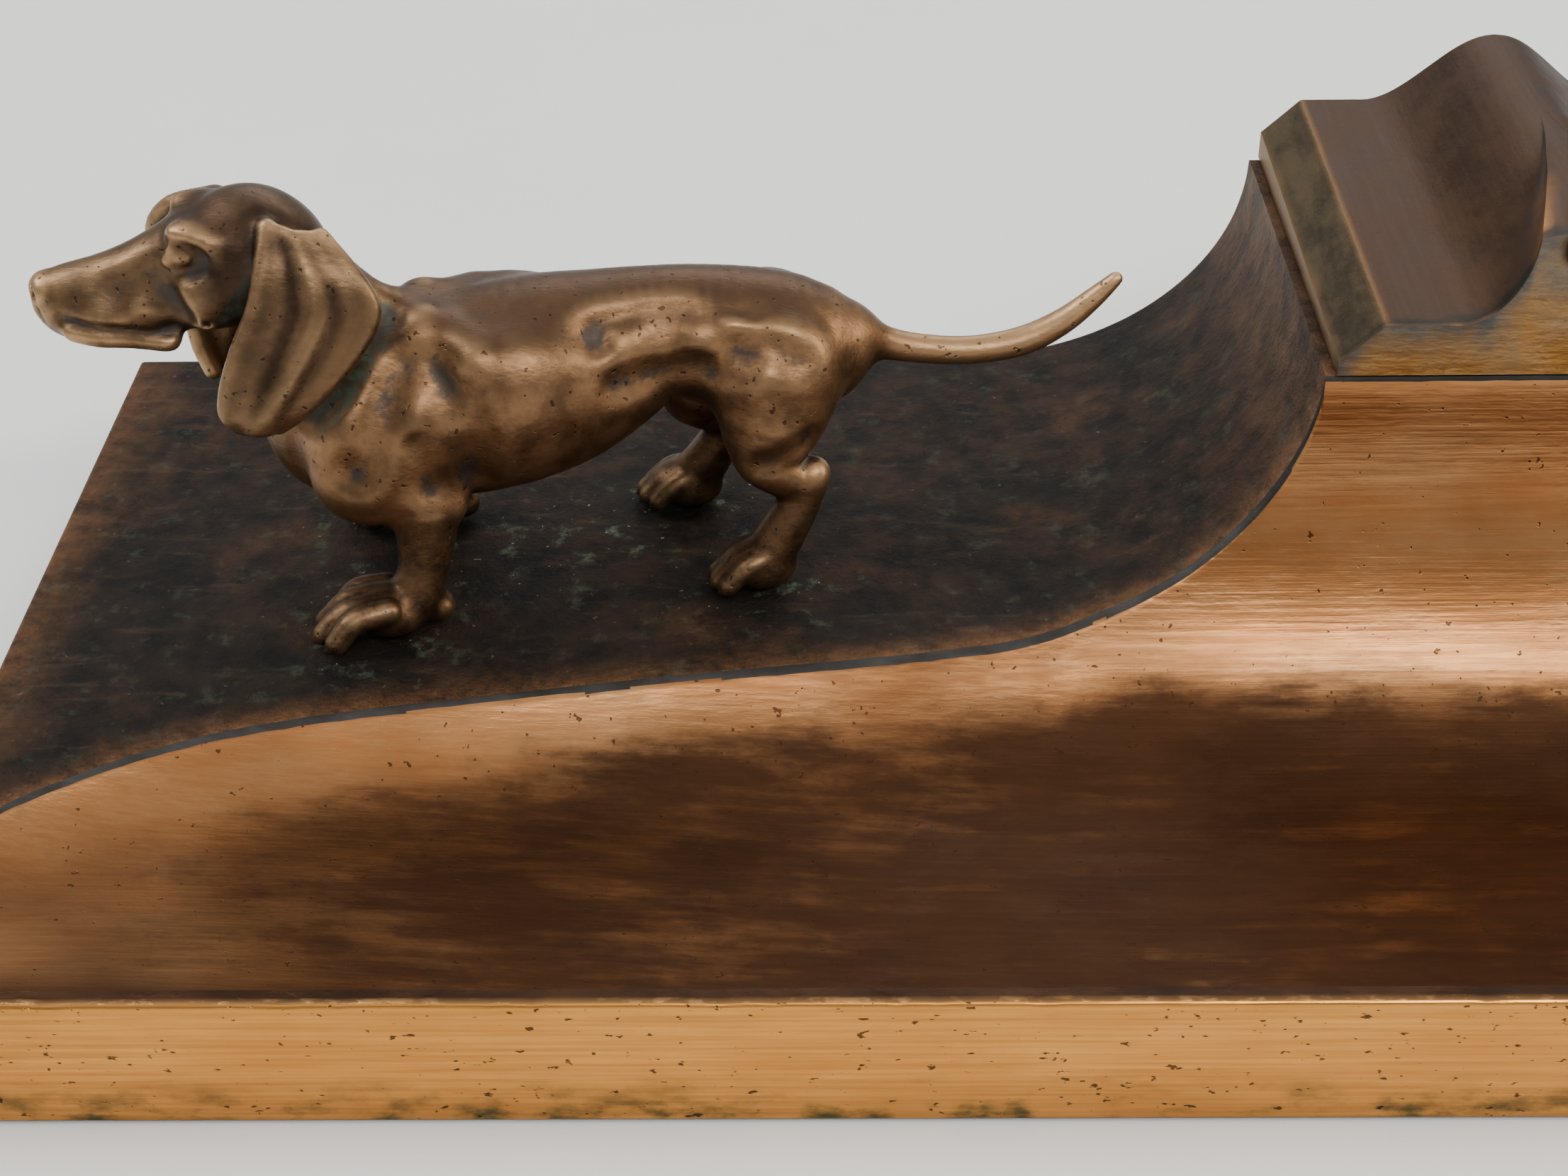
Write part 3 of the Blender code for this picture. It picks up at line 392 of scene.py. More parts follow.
def polished_tray_copper(look):
    """Tray face scraped and polished to bare red bronze, then tarnished where ink and water lay."""
    material, tree = new_material("polished_red_bronze_tarnished")
    tarnish = add(tree, "ShaderNodeAttribute", output="Fac", attribute_name="tarnish")
    cloud = speckle(tree, 14.0, 0.30, 0.70, rough=0.62, along=(0.55, 1, 1))
    brush = speckle(tree, 0.7, 0.25, 0.75, along=(0.035, 1, 1), detail=4.0)
    blots = speckle(tree, 5.0, 0.42, 0.66, rough=0.72, along=(0.5, 1, 1), shift=3.3)
    bright = add(tree, "ShaderNodeMix", [(0, cloud), (6, look["copper"]), (7, look["copper_pale"])],
                 output=2, data_type="RGBA")
    bright = add(tree, "ShaderNodeMix",
                 [(0, add(tree, "ShaderNodeMath", [(0, brush), (1, 0.35)], operation="MULTIPLY")),
                  (6, bright), (7, "#8A4C24")],
                 output=2, data_type="RGBA")
    level = add(tree, "ShaderNodeMath",
                [(0, tarnish),
                 (1,
                  add(tree, "ShaderNodeMath", [(0, cloud), (1, 0.45), (2, -0.22)],
                      operation="MULTIPLY_ADD"))],
                operation="ADD")
    smear = speckle(tree, 2.4, 0.30, 0.70, along=(0.12, 1, 1), shift=8.1)
    level = add(tree, "ShaderNodeMath",
                [(0, level),
                 (1,
                  add(tree, "ShaderNodeMath", [(0, blots), (1, 0.24), (2, -0.1)],
                      operation="MULTIPLY_ADD"))],
                operation="ADD")
    level = add(tree, "ShaderNodeMath",
                [(0, level),
                 (1,
                  add(tree, "ShaderNodeMath", [(0, smear), (1, 0.3), (2, -0.15)],
                      operation="MULTIPLY_ADD"))],
                operation="ADD")
    level = add(tree, "ShaderNodeMapRange", [("Value", level), (1, 0.12), (2, 1.05)],
                interpolation_type="SMOOTHSTEP")
    dark = add(tree, "ShaderNodeMix", [(0, blots), (6, "#211913"), (7, "#3E2C20")], output=2,
               data_type="RGBA")
    colour = add(tree, "ShaderNodeMix", [(0, level), (6, bright), (7, dark)], output=2, data_type="RGBA")
    pits = speckle(tree, 1.1, 0.69, 0.73, detail=2.0, shift=5.0)
    colour = add(tree, "ShaderNodeMix",
                 [(0, add(tree, "ShaderNodeMath", [(0, pits), (1, 0.8)], operation="MULTIPLY")),
                  (6, colour), (7, "#2A1C14")],
                 output=2, data_type="RGBA")
    # Matt brown over the tray face: partly its tarnished finish, partly painted highlight and painted shade.
    dull = add(tree, "ShaderNodeAttribute", output="Fac", attribute_name="dull")
    colour = add(tree, "ShaderNodeMix",
                 [(0, add(tree, "ShaderNodeMath", [(0, dull), (1, 0.9)], operation="MULTIPLY")),
                  (6, colour), (7, "#4A2E1B")],
                 output=2, data_type="RGBA")
    roughness = add(tree, "ShaderNodeMapRange", [("Value", level), (3, 0.28), (4, 0.42)])
    roughness = add(tree, "ShaderNodeMath", [(0, dull), (1, 0.12), (2, roughness)],
                    operation="MULTIPLY_ADD")
    roughness = add(tree, "ShaderNodeMath", [(0, brush), (1, 0.1), (2, roughness)],
                    operation="MULTIPLY_ADD")
    turned_pits = add(tree, "ShaderNodeMath", [(0, 1.0), (1, pits)], operation="SUBTRACT")
    finish_metal(tree, colour, roughness, 0.97,
                 [(cloud, 0.25, 0.30), (brush, 0.05, 0.45), (turned_pits, 0.12, 0.6)])
    return material


def brushed_front_bronze(look):
    """Front face draw-filed along its length: bright yellow bronze, nicks and a green lower edge."""
    material, tree = new_material("draw_filed_yellow_bronze")
    brush = speckle(tree, 0.5, 0.25, 0.75, along=(0.02, 1, 1), detail=4.0)
    cloud = speckle(tree, 9.0, 0.32, 0.68, along=(0.5, 1, 1))
    place = add(tree, "ShaderNodeTexCoord")
    height = add(tree, "ShaderNodeSeparateXYZ", [(0, place.node.outputs["Object"])]).node.outputs["Z"]
    low = add(tree, "ShaderNodeMapRange", [("Value", height), (1, 0.0075), (2, 0.0012)])
    colour = add(tree, "ShaderNodeMix", [(0, cloud), (6, look["front_bronze"]), (7, "#D08F45")], output=2,
                 data_type="RGBA")
    colour = add(tree, "ShaderNodeMix",
                 [(0, add(tree, "ShaderNodeMath", [(0, brush), (1, 0.5)], operation="MULTIPLY")),
                  (6, colour), (7, "#9A5E2C")],
                 output=2, data_type="RGBA")
    stain = speckle(tree, 3.0, 0.45, 0.7, along=(0.5, 1, 1), shift=2.0)
    grime = add(tree, "ShaderNodeMath",
                [(0, low),
                 (1,
                  add(tree, "ShaderNodeMath", [(0, stain), (1, 0.8), (2, 0.25)],
                      operation="MULTIPLY_ADD"))],
                operation="MULTIPLY", use_clamp=True)
    colour = add(tree, "ShaderNodeMix", [(0, grime), (6, colour), (7, "#4C4A30")], output=2,
                 data_type="RGBA")
    pits = speckle(tree, 0.9, 0.67, 0.72, detail=2.0, along=(0.6, 1, 1), shift=5.0)
    colour = add(tree, "ShaderNodeMix",
                 [(0, add(tree, "ShaderNodeMath", [(0, pits), (1, 0.85)], operation="MULTIPLY")),
                  (6, colour), (7, "#241A12")],
                 output=2, data_type="RGBA")
    roughness = add(tree, "ShaderNodeMath", [(0, brush), (1, 0.14), (2, 0.24)], operation="MULTIPLY_ADD")
    roughness = add(tree, "ShaderNodeMath", [(0, grime), (1, 0.25), (2, roughness)],
                    operation="MULTIPLY_ADD")
    finish_metal(tree, colour, roughness, 0.97,
                 [(brush, 0.05, 0.5),
                  (add(tree, "ShaderNodeMath", [(0, 1.0), (1, pits)], operation="SUBTRACT"), 0.15, 0.7)])
    return material


def rim_bronze(look):
    """Narrow rim round the tray: brown patina, worn bright on its outer corner."""
    material, tree = new_material("handled_brown_bronze_rim")
    rub = add(tree, "ShaderNodeAttribute", output="Fac", attribute_name="rub")
    cloud = speckle(tree, 6.0, 0.3, 0.7, along=(0.4, 1, 1))
    nicks = speckle(tree, 1.6, 0.50, 0.66, along=(0.5, 1, 1), detail=3.0)
    colour = add(tree, "ShaderNodeMix", [(0, cloud), (6, "#2E1E14"), (7, "#4C3320")], output=2,
                 data_type="RGBA")
    bright = add(tree, "ShaderNodeMath",
                 [(0, rub),
                  (1,
                   add(tree, "ShaderNodeMath", [(0, nicks), (1, 0.7), (2, 0.45)],
                       operation="MULTIPLY_ADD"))],
                 operation="MULTIPLY", use_clamp=True)
    colour = add(tree, "ShaderNodeMix", [(0, bright), (6, colour), (7, "#E2A867")], output=2,
                 data_type="RGBA")
    roughness = add(tree, "ShaderNodeMapRange", [("Value", bright), (3, 0.50), (4, 0.28)])
    finish_metal(tree, colour, roughness, 0.9, [(nicks, 0.12, 0.5), (cloud, 0.1, 0.3)])
    return material


def lid_top_bronze(look):
    """Lid plate and hood: satin brown patina, waxed, with fine file lines along its depth."""
    material, tree = new_material("waxed_brown_bronze")
    rub = add(tree, "ShaderNodeAttribute", output="Fac", attribute_name="rub")
    lines = speckle(tree, 0.8, 0.3, 0.75, along=(1, 0.04, 0.3), detail=4.0)
    cloud = speckle(tree, 8.0, 0.32, 0.68, rough=0.65)
    colour = add(tree, "ShaderNodeMix", [(0, cloud), (6, look["lid_brown"]), (7, "#493423")], output=2,
                 data_type="RGBA")
    colour = add(tree, "ShaderNodeMix",
                 [(0, add(tree, "ShaderNodeMath", [(0, lines), (1, 0.22)], operation="MULTIPLY")),
                  (6, colour), (7, "#5A4130")],
                 output=2, data_type="RGBA")
    colour = add(tree, "ShaderNodeMix",
                 [(0,
                   add(tree, "ShaderNodeMath",
                       [(0, rub),
                        (1,
                         add(tree, "ShaderNodeMath", [(0, cloud), (1, 0.5), (2, 0.6)],
                             operation="MULTIPLY_ADD"))],
                       operation="MULTIPLY", use_clamp=True)),
                  (6, colour), (7, "#C98A4E")],
                 output=2, data_type="RGBA")
    specks = speckle(tree, 1.4, 0.66, 0.72, detail=3.0, shift=3.0)
    colour = add(tree, "ShaderNodeMix",
                 [(0, add(tree, "ShaderNodeMath", [(0, specks), (1, 0.5)], operation="MULTIPLY")),
                  (6, colour), (7, "#2B2A22")],
                 output=2, data_type="RGBA")
    colour = add(tree, "ShaderNodeMix",
                 [(0,
                   add(tree, "ShaderNodeMath",
                       [(0, add(tree, "ShaderNodeAttribute", output="Fac", attribute_name="grime")),
                        (1, 0.85)],
                       operation="MULTIPLY")),
                  (6, colour), (7, "#1F231D")],
                 output=2, data_type="RGBA")
    roughness = add(tree, "ShaderNodeMapRange", [("Value", cloud), (3, 0.44), (4, 0.54)])
    finish_metal(tree, colour, roughness, 0.95, [(cloud, 0.2, 0.3), (lines, 0.04, 0.3)])
    return material


def lid_chamfer_bronze(look):
    """Sloping edge of the lid: olive-brown patina that dust and wax have dulled."""
    material, tree = new_material("olive_patina_bronze")
    cloud = speckle(tree, 5.0, 0.32, 0.68, rough=0.7, along=(1, 0.5, 1))
    rub = add(tree, "ShaderNodeAttribute", output="Fac", attribute_name="rub")
    colour = add(tree, "ShaderNodeMix", [(0, cloud), (6, "#3A3122"), (7, "#5E4F36")], output=2,
                 data_type="RGBA")
    colour = add(tree, "ShaderNodeMix", [(0, rub), (6, colour), (7, "#A87A48")], output=2, data_type="RGBA")
    colour = add(tree, "ShaderNodeMix",
                 [(0,
                   add(tree, "ShaderNodeMath",
                       [(0, add(tree, "ShaderNodeAttribute", output="Fac", attribute_name="grime")),
                        (1, 0.8)],
                       operation="MULTIPLY")),
                  (6, colour), (7, "#1F231D")],
                 output=2, data_type="RGBA")
    roughness = add(tree, "ShaderNodeMapRange", [("Value", cloud), (3, 0.42), (4, 0.52)])
    fine = speckle(tree, 0.8, 0.2, 0.8)
    finish_metal(tree, colour, roughness, 0.85, [(cloud, 0.2, 0.35), (fine, 0.06, 0.4)])
    return material


def lid_front_bronze(look):
    """Front of the lid: bare gold bronze below, blue-grey tarnish creeping down from the edge."""
    material, tree = new_material("gold_bronze_blue_tarnish")
    tarnish = add(tree, "ShaderNodeAttribute", output="Fac", attribute_name="tarnish")
    cloud = speckle(tree, 6.0, 0.3, 0.7, rough=0.66)
    brush = speckle(tree, 0.6, 0.25, 0.75, along=(0.1, 1, 0.5))
    colour = add(tree, "ShaderNodeMix", [(0, cloud), (6, "#B98A4A"), (7, "#D9A866")], output=2,
                 data_type="RGBA")
    level = add(tree, "ShaderNodeMath",
                [(0, tarnish),
                 (1,
                  add(tree, "ShaderNodeMath", [(0, cloud), (1, 0.5), (2, -0.25)],
                      operation="MULTIPLY_ADD"))],
                operation="ADD", use_clamp=True)
    colour = add(tree, "ShaderNodeMix", [(0, level), (6, colour), (7, "#5D6466")], output=2,
                 data_type="RGBA")
    colour = add(tree, "ShaderNodeMix",
                 [(0, add(tree, "ShaderNodeMath", [(0, brush), (1, 0.25)], operation="MULTIPLY")),
                  (6, colour), (7, "#6A4526")],
                 output=2, data_type="RGBA")
    roughness = add(tree, "ShaderNodeMapRange", [("Value", level), (3, 0.28), (4, 0.42)])
    finish_metal(tree, colour, roughness, 0.95, [(cloud, 0.15, 0.3), (brush, 0.05, 0.4)])
    return material


def hand_rubbed_dog_bronze(look):
    """Dog cast and chased in bronze, brown patina rubbed through by hands to satin gold."""
    material, tree = new_material("hand_rubbed_chased_bronze")
    ridge = add(tree, "ShaderNodeAttribute", output="Fac", attribute_name="ridge")
    hollow = add(tree, "ShaderNodeAttribute", output="Fac", attribute_name="hollow")
    shade = add(tree, "ShaderNodeAttribute", output="Fac", attribute_name="shade")
    head = add(tree, "ShaderNodeAttribute", output="Fac", attribute_name="head")
    green = add(tree, "ShaderNodeAttribute", output="Fac", attribute_name="green")
    cloud = speckle(tree, 4.5, 0.30, 0.70, rough=0.62)
    blots = speckle(tree, 2.2, 0.44, 0.62, rough=0.7, shift=1.7)
    hair = speckle(tree, 0.35, 0.25, 0.75, along=(0.25, 1.0, 0.6), detail=3.0)
    body = add(tree, "ShaderNodeMix", [(0, cloud), (6, look["dog_gold"]), (7, look["dog_brown"])], output=2,
               data_type="RGBA")
    # Dark brown for the skull and muzzle patina, also laid as painted shade on the upward-facing back.
    top = add(tree, "ShaderNodeMix", [(0, cloud), (6, "#35271D"), (7, "#4A3628")], output=2,
              data_type="RGBA")
    colour = add(tree, "ShaderNodeMix", [(0, head), (6, body), (7, top)], output=2, data_type="RGBA")
    lifted = add(tree, "ShaderNodeMath",
                 [(0, ridge),
                  (1,
                   add(tree, "ShaderNodeMath", [(0, cloud), (1, 0.5), (2, 0.5)],
                       operation="MULTIPLY_ADD"))],
                 operation="MULTIPLY", use_clamp=True)
    colour = add(tree, "ShaderNodeMix", [(0, lifted), (6, colour), (7, "#C09A70")], output=2,
                 data_type="RGBA")
    sunk = add(tree, "ShaderNodeMath", [(0, blots), (1, 0.35), (2, -0.15)], operation="MULTIPLY_ADD")
    sunk = add(tree, "ShaderNodeMath", [(0, sunk), (1, hollow)], operation="ADD")
    sunk = add(tree, "ShaderNodeMapRange", [("Value", sunk), (1, 0.30), (2, 0.95)],
               interpolation_type="SMOOTHSTEP")
    colour = add(tree, "ShaderNodeMix",
                 [(0, add(tree, "ShaderNodeMath", [(0, sunk), (1, 0.85)], operation="MULTIPLY")),
                  (6, colour), (7, look["dog_hollow"])],
                 output=2, data_type="RGBA")
    # Painted shade: darkens the colour towards near-black brown where the shade attribute is high.
    colour = add(tree, "ShaderNodeMix",
                 [(0,
                   add(tree, "ShaderNodeMath",
                       [(0, shade),
                        (1,
                         add(tree, "ShaderNodeMath", [(0, blots), (1, 0.3), (2, 0.7)],
                             operation="MULTIPLY_ADD"))],
                       operation="MULTIPLY")),
                  (6, colour), (7, "#2A1D15")],
                 output=2, data_type="RGBA")
    verdigris = add(tree, "ShaderNodeMath",
                    [(0, green),
                     (1,
                      add(tree, "ShaderNodeMath", [(0, blots), (1, 0.8), (2, 0.3)],
                          operation="MULTIPLY_ADD"))],
                    operation="MULTIPLY", use_clamp=True)
    colour = add(tree, "ShaderNodeMix", [(0, verdigris), (6, colour), (7, look["verdigris"])], output=2,
                 data_type="RGBA")
    pits = speckle(tree, 0.9, 0.70, 0.74, detail=1.0, shift=3.1)
    colour = add(tree, "ShaderNodeMix",
                 [(0, add(tree, "ShaderNodeMath", [(0, pits), (1, 0.7)], operation="MULTIPLY")),
                  (6, colour), (7, "#2A1A10")],
                 output=2, data_type="RGBA")
    roughness = add(tree, "ShaderNodeMapRange", [("Value", sunk), (3, 0.38), (4, 0.50)])
    roughness = add(tree, "ShaderNodeMath", [(0, hair), (1, 0.09), (2, roughness)],
                    operation="MULTIPLY_ADD")
    roughness = add(tree, "ShaderNodeMath", [(0, verdigris), (1, 0.3), (2, roughness)],
                    operation="MULTIPLY_ADD")
    metallic = add(tree, "ShaderNodeMath", [(0, verdigris), (1, -0.5), (2, 0.9)], operation="MULTIPLY_ADD")
    finish_metal(tree, colour, roughness, metallic,
                 [(cloud, 0.12, 0.25), (hair, 0.04, 0.4),
                  (add(tree, "ShaderNodeMath", [(0, 1.0), (1, pits)], operation="SUBTRACT"), 0.12, 0.6)])
    return material


def plain_metal(name, first, second, roughness, size, along=(1, 1, 1), metallic=1.0):
    """Small hardware: a metal with clouds of tarnish and fine turning marks."""
    material, tree = new_material(name)
    cloud = speckle(tree, size, 0.3, 0.7, rough=0.65)
    marks = speckle(tree, 0.35, 0.25, 0.75, along=along)
    colour = add(tree, "ShaderNodeMix", [(0, cloud), (6, first), (7, second)], output=2, data_type="RGBA")
    colour = add(tree, "ShaderNodeMix",
                 [(0, add(tree, "ShaderNodeMath", [(0, marks), (1, 0.3)], operation="MULTIPLY")),
                  (6, colour), (7, first)],
                 output=2, data_type="RGBA")
    level = add(tree, "ShaderNodeMapRange", [("Value", cloud), (3, roughness), (4, roughness + 0.12)])
    finish_metal(tree, colour, level, metallic, [(cloud, 0.06, 0.3), (marks, 0.03, 0.4)])
    return material


# ---------------------------------------------------------------- base casting

def smooth_through(points, x):
    """Height at x of a smooth curve through points, level beyond its ends."""
    if x <= points[0][0]:
        return points[0][1]
    if x >= points[-1][0]:
        return points[-1][1]
    slopes = []
    for k in range(len(points)):
        before, after = points[max(k - 1, 0)], points[min(k + 1, len(points) - 1)]
        slopes.append((after[1] - before[1]) / (after[0] - before[0]))
    k = max(i for i, p in enumerate(points) if p[0] <= x)
    (x0, y0), (x1, y1) = points[k], points[k + 1]
    run = x1 - x0
    t = (x - x0) / run
    return ((2 * t**3 - 3 * t**2 + 1) * y0 + (t**3 - 2 * t**2 + t) * run * slopes[k]
            + (3 * t**2 - 2 * t**3) * y1 + (t**3 - t**2) * run * slopes[k + 1])


def ledge_height(x):
    """Height behind the tray line: shelf, swoop, housing top, then the flare to the right end."""
    rise = HOUSING_TOP - SHELF_Z
    if x < HOUSING_LEFT:
        return HOUSING_TOP - rise * arch((x - SWOOP_START) / (HOUSING_LEFT - SWOOP_START))
    if x <= HOUSING_RIGHT:
        return HOUSING_TOP
    flare = LENGTH - RIM - HOUSING_RIGHT
    return HOUSING_TOP - rise * arch((LENGTH - RIM - x) / flare)


def tray_depth(x):
    return TRAY_LEFT_DEPTH + (TRAY_RIGHT_DEPTH - TRAY_LEFT_DEPTH) * float(ease(x, 10.0, SWEEP_LEFT))


def tray_floor(x):
    left = arch((RIM + TRAY_LEFT_END - x) / TRAY_LEFT_END)
    right = arch((x - LENGTH + RIM + TRAY_RIGHT_END) / TRAY_RIGHT_END)
    return SHELF_Z - tray_depth(x) * left * right


def tray_sweep(x):
    """Where the tray's back slope starts, its run and its rise."""
    full = HOUSING_FRONT - BACK_SWEEP
    turn = math.acos(1 - tray_depth(x) / SWEEP_RISE)
    line = [(u, v * HOUSING_FRONT) for u, v in SHELF_LINE]
    line.append((SWEEP_LEFT, full + BACK_SWEEP * math.sin(turn)))
    edge = smooth_through(line, x)
    reach = min(BACK_SWEEP * math.sin(turn), edge - RIM - FRONT_SWEEP - 1.0)
    rise = (SHELF_Z - tray_floor(x)) / (1 - math.cos(turn))
    return edge - reach, reach / math.sin(turn), rise


FRONT_CORNER = 4             # points round the outer top corner
RIM_POINTS = 3
FRONT_POINTS = 12
FLOOR_POINTS = 9
SWEEP_POINTS = 34
ROLL_POINTS = 6              # round the rolled edge between tray and shelf
SHELF_POINTS = 34
CORNER = 0.6                 # radius of the outer top corner


def base_section(x):
    """The casting's top in the plane across it at x, as (y, z) from front to back."""
    top, floor = ledge_height(x), tray_floor(x)
    start_y, run, rise = tray_sweep(x)
    points = []
    for k in range(FRONT_CORNER):
        a = math.radians(90 * k / (FRONT_CORNER - 1))
        points.append((CORNER * (1 - math.cos(a)), SHELF_Z - CORNER * (1 - math.sin(a))))
    for k in range(1, RIM_POINTS + 1):
        points.append((CORNER + (RIM - CORNER) * k / RIM_POINTS, SHELF_Z))
    for k in range(1, FRONT_POINTS + 1):
        a = math.radians(90 * k / FRONT_POINTS)
        points.append((RIM + FRONT_SWEEP * (1 - math.cos(a)), SHELF_Z - (SHELF_Z - floor) * math.sin(a)))
    flat_from = RIM + FRONT_SWEEP
    for k in range(1, FLOOR_POINTS + 1):
        points.append((flat_from + (start_y - flat_from) * k / (FLOOR_POINTS + 1), floor))
    climb = (top - floor) / rise if rise > 0.01 else 1 - math.cos(math.radians(45))
    turn = math.acos(max(0.0, 1 - climb))
    for k in range(SWEEP_POINTS):
        a = turn * 0.985 * k / (SWEEP_POINTS - 1)
        points.append((start_y + run * math.sin(a), floor + rise * (1 - math.cos(a))))
    corner = (start_y + run * math.sin(turn), top)
    roll = 0.5 if HOUSING_LEFT <= x <= HOUSING_RIGHT else 1.1
    while len(points) > 3 and math.hypot(corner[0] - points[-1][0], corner[1] - points[-1][1]) < roll * 0.8:
        points[-1] = (points[-2][0] + (points[-1][0] - points[-2][0]) * 0.5,
                      points[-2][1] + (points[-1][1] - points[-2][1]) * 0.5)
        if abs(points[-1][0] - points[-2][0]) + abs(points[-1][1] - points[-2][1]) < 0.01:
            break
    before = points[-1]
    after = (corner[0] + roll, top)
    for k in range(1, ROLL_POINTS + 1):
        t = k / ROLL_POINTS
        points.append(tuple((1 - t)**2 * before[n] + 2 * t * (1 - t) * corner[n] + t**2 * after[n]
                            for n in (0, 1)))
    back = DEPTH - CORNER
    for k in range(1, SHELF_POINTS + 1):
        points.append((after[0] + (back - after[0]) * k / SHELF_POINTS, top))
    for a in (30, 60, 90):
        r = math.radians(a)
        points.append((back + CORNER * math.sin(r), top - CORNER * (1 - math.cos(r))))
    return points


def coarse_height(x):
    """The same section with few points, for the underside."""
    points = base_section(x)
    ys = [p[0] for p in points]
    return ys, [p[1] for p in points]


def base_stations():
    ends = [CORNER * (1 - math.cos(math.radians(a))) for a in (0, 30, 60, 90)]
    left = [RIM + (SWOOP_START - RIM) * (k / 96) ** 1.15 for k in range(97)]
    swoop = [SWOOP_START + (HOUSING_LEFT - SWOOP_START) * math.sin(math.radians(a))
             for a in np.linspace(2, 89, 34)]
    housing = [HOUSING_LEFT + (HOUSING_RIGHT - HOUSING_LEFT) * k / 44 for k in range(45)]
    flare = [LENGTH - RIM - (LENGTH - RIM - HOUSING_RIGHT) * math.sin(math.radians(a))
             for a in np.linspace(86, 3, 20)]
    return ends + [1.4] + left + swoop + housing + flare + [LENGTH - RIM, LENGTH - 1.4] + [
        LENGTH - e for e in ends[::-1]]


def corner_drop(x):
    """How far the rim falls near the two ends, where its outer corner is rounded."""
    side = min(x, LENGTH - x)
    if side >= CORNER:
        return 0.0
    return CORNER * (1 - math.sqrt(max(0.0, 1 - ((CORNER - side) / CORNER) ** 2)))


ROLL_START = FRONT_CORNER + RIM_POINTS + FRONT_POINTS + FLOOR_POINTS + SWEEP_POINTS
TRAY_START = FRONT_CORNER + RIM_POINTS


def worn(x, y, z, column):
    """Small unevenness of the casting: lumps on the shelf, dents in the tray, nicks in the rim."""
    if column > ROLL_START + ROLL_POINTS:
        swell = 0.16 * rough_at((x, y, z), 4.2) + 0.10 * rough_at((x, y, z), 1.9, 3.0)
        swell += 0.35 * rough_at((x, y, 0), 17.0, 6.0)
        edge = min(x, LENGTH - x, DEPTH - y) / 4.0
        if HOUSING_LEFT - 1 < x < HOUSING_RIGHT + 1:
            return z
        return z + swell * max(0.0, min(1.0, edge)) - 0.1
    if column >= ROLL_START:
        return z - 0.18 * max(0.0, rough_at((x, y, 0), 2.5, 9.0))
    if column >= TRAY_START:
        return z + 0.10 * rough_at((x, y, z), 9.0, 2.0) - 0.08 * max(0.0, rough_at((x, y, 0), 3.0, 5.0))
    return z - 0.35 * max(0.0, rough_at((x * 0.8, 0, 0), 2.4, 1.0) - 0.25) - 0.05 * rough_at((x, y, 0), 12.0)


def hollow_stations():
    """Where the hollow underside is given its height, along the casting and across it."""
    run = HOUSING_LEFT - SWOOP_START
    shelf = [WALL, 5.5, 9, 13.5, 20] + [20 + (SWOOP_START - 20) * k / 4 for k in (0.4, 1.0, 1.8, 2.9, 4)]
    swoop = [SWOOP_START + run * k for k in (0.27, 0.49, 0.68, 0.81, 0.89, 0.96)]
    well = [HOUSING_LEFT + WALL - 0.4, HOUSING_LEFT + WALL + 0.4, WELL_X - 13, WELL_X, WELL_X + 13,
            HOUSING_RIGHT - WALL - 0.4, HOUSING_RIGHT - WALL + 0.6]
    flare = [HOUSING_RIGHT + (LENGTH - RIM - HOUSING_RIGHT) * k for k in (0.25, 0.54, 0.78)]
    front = [WALL, 5.5, 9, 14] + [14 + (HOUSING_FRONT - 14) * k for k in (0.18, 0.36, 0.54, 0.72, 0.83)]
    wall = [HOUSING_FRONT + k for k in (-5.5, -2.5, -0.5, 1.0, 1.9, 2.7)]
    behind = [HOUSING_FRONT + (DEPTH - HOUSING_FRONT) * k for k in (0.25, 0.5, 0.74)]
    return shelf + swoop + well + flare + [LENGTH - WALL], front + wall + behind + [DEPTH - WALL]


def build_base(look):
    """Base casting: tray, shelf, swoop and ink housing in one piece."""
    stations = base_stations()
    grid = []
    for x in stations:
        drop = corner_drop(x)
        section = base_section(min(max(x, 0.0), LENGTH))
        row = []
        for column, (y, z) in enumerate(section):
            if column == 0:
                z = SHELF_Z - CORNER
            row.append((x, y, worn(x, y, z, column) - drop))
        grid.append(row)
    mesh = block_mesh("base_casting_fine", grid, SKIRT_Z)
    under = underside_grid(*hollow_stations(), coarse_height, WALL + 0.3, RECESS_Z)
    core = new_object("core", block_mesh("core", under, -2.0))
    drill = bmesh.new()
    bmesh.ops.create_cone(drill, cap_ends=True, segments=72, radius1=WELL_RADIUS * MM,
                          radius2=WELL_RADIUS * MM, depth=20 * MM)
    drill_mesh = bpy.data.meshes.new("well_mouth")
    drill.to_mesh(drill_mesh)
    drill.free()
    mouth = new_object("well_mouth", drill_mesh)
    mouth.location = world((WELL_X, WELL_Y, HOUSING_TOP))
    made = carved("base_blank", mesh, [core, mouth])
    made.name = "inkstand_base"
    places = mesh_places(made)
    lay_base_values(made, places)
    for build in (cast_shelf_bronze, burnished_edge_bronze, polished_tray_copper, brushed_front_bronze,
                  rim_bronze):
        made.materials.append(build(look))
    sort_base_faces(made, places)
    smooth_shade(made, 38.0)
    return put_on(new_object("inkstand_base", made), "stand", "patinated_bronze", "base_casting")


def tray_edge_at(x):
    """Where the rolled edge between tray and shelf lies, in y."""
    start_y, run, rise = tray_sweep(x)
    climb = (ledge_height(x) - tray_floor(x)) / rise if rise > 0.01 else 1.0
    return start_y + run * math.sin(math.acos(max(0.0, 1 - climb)))


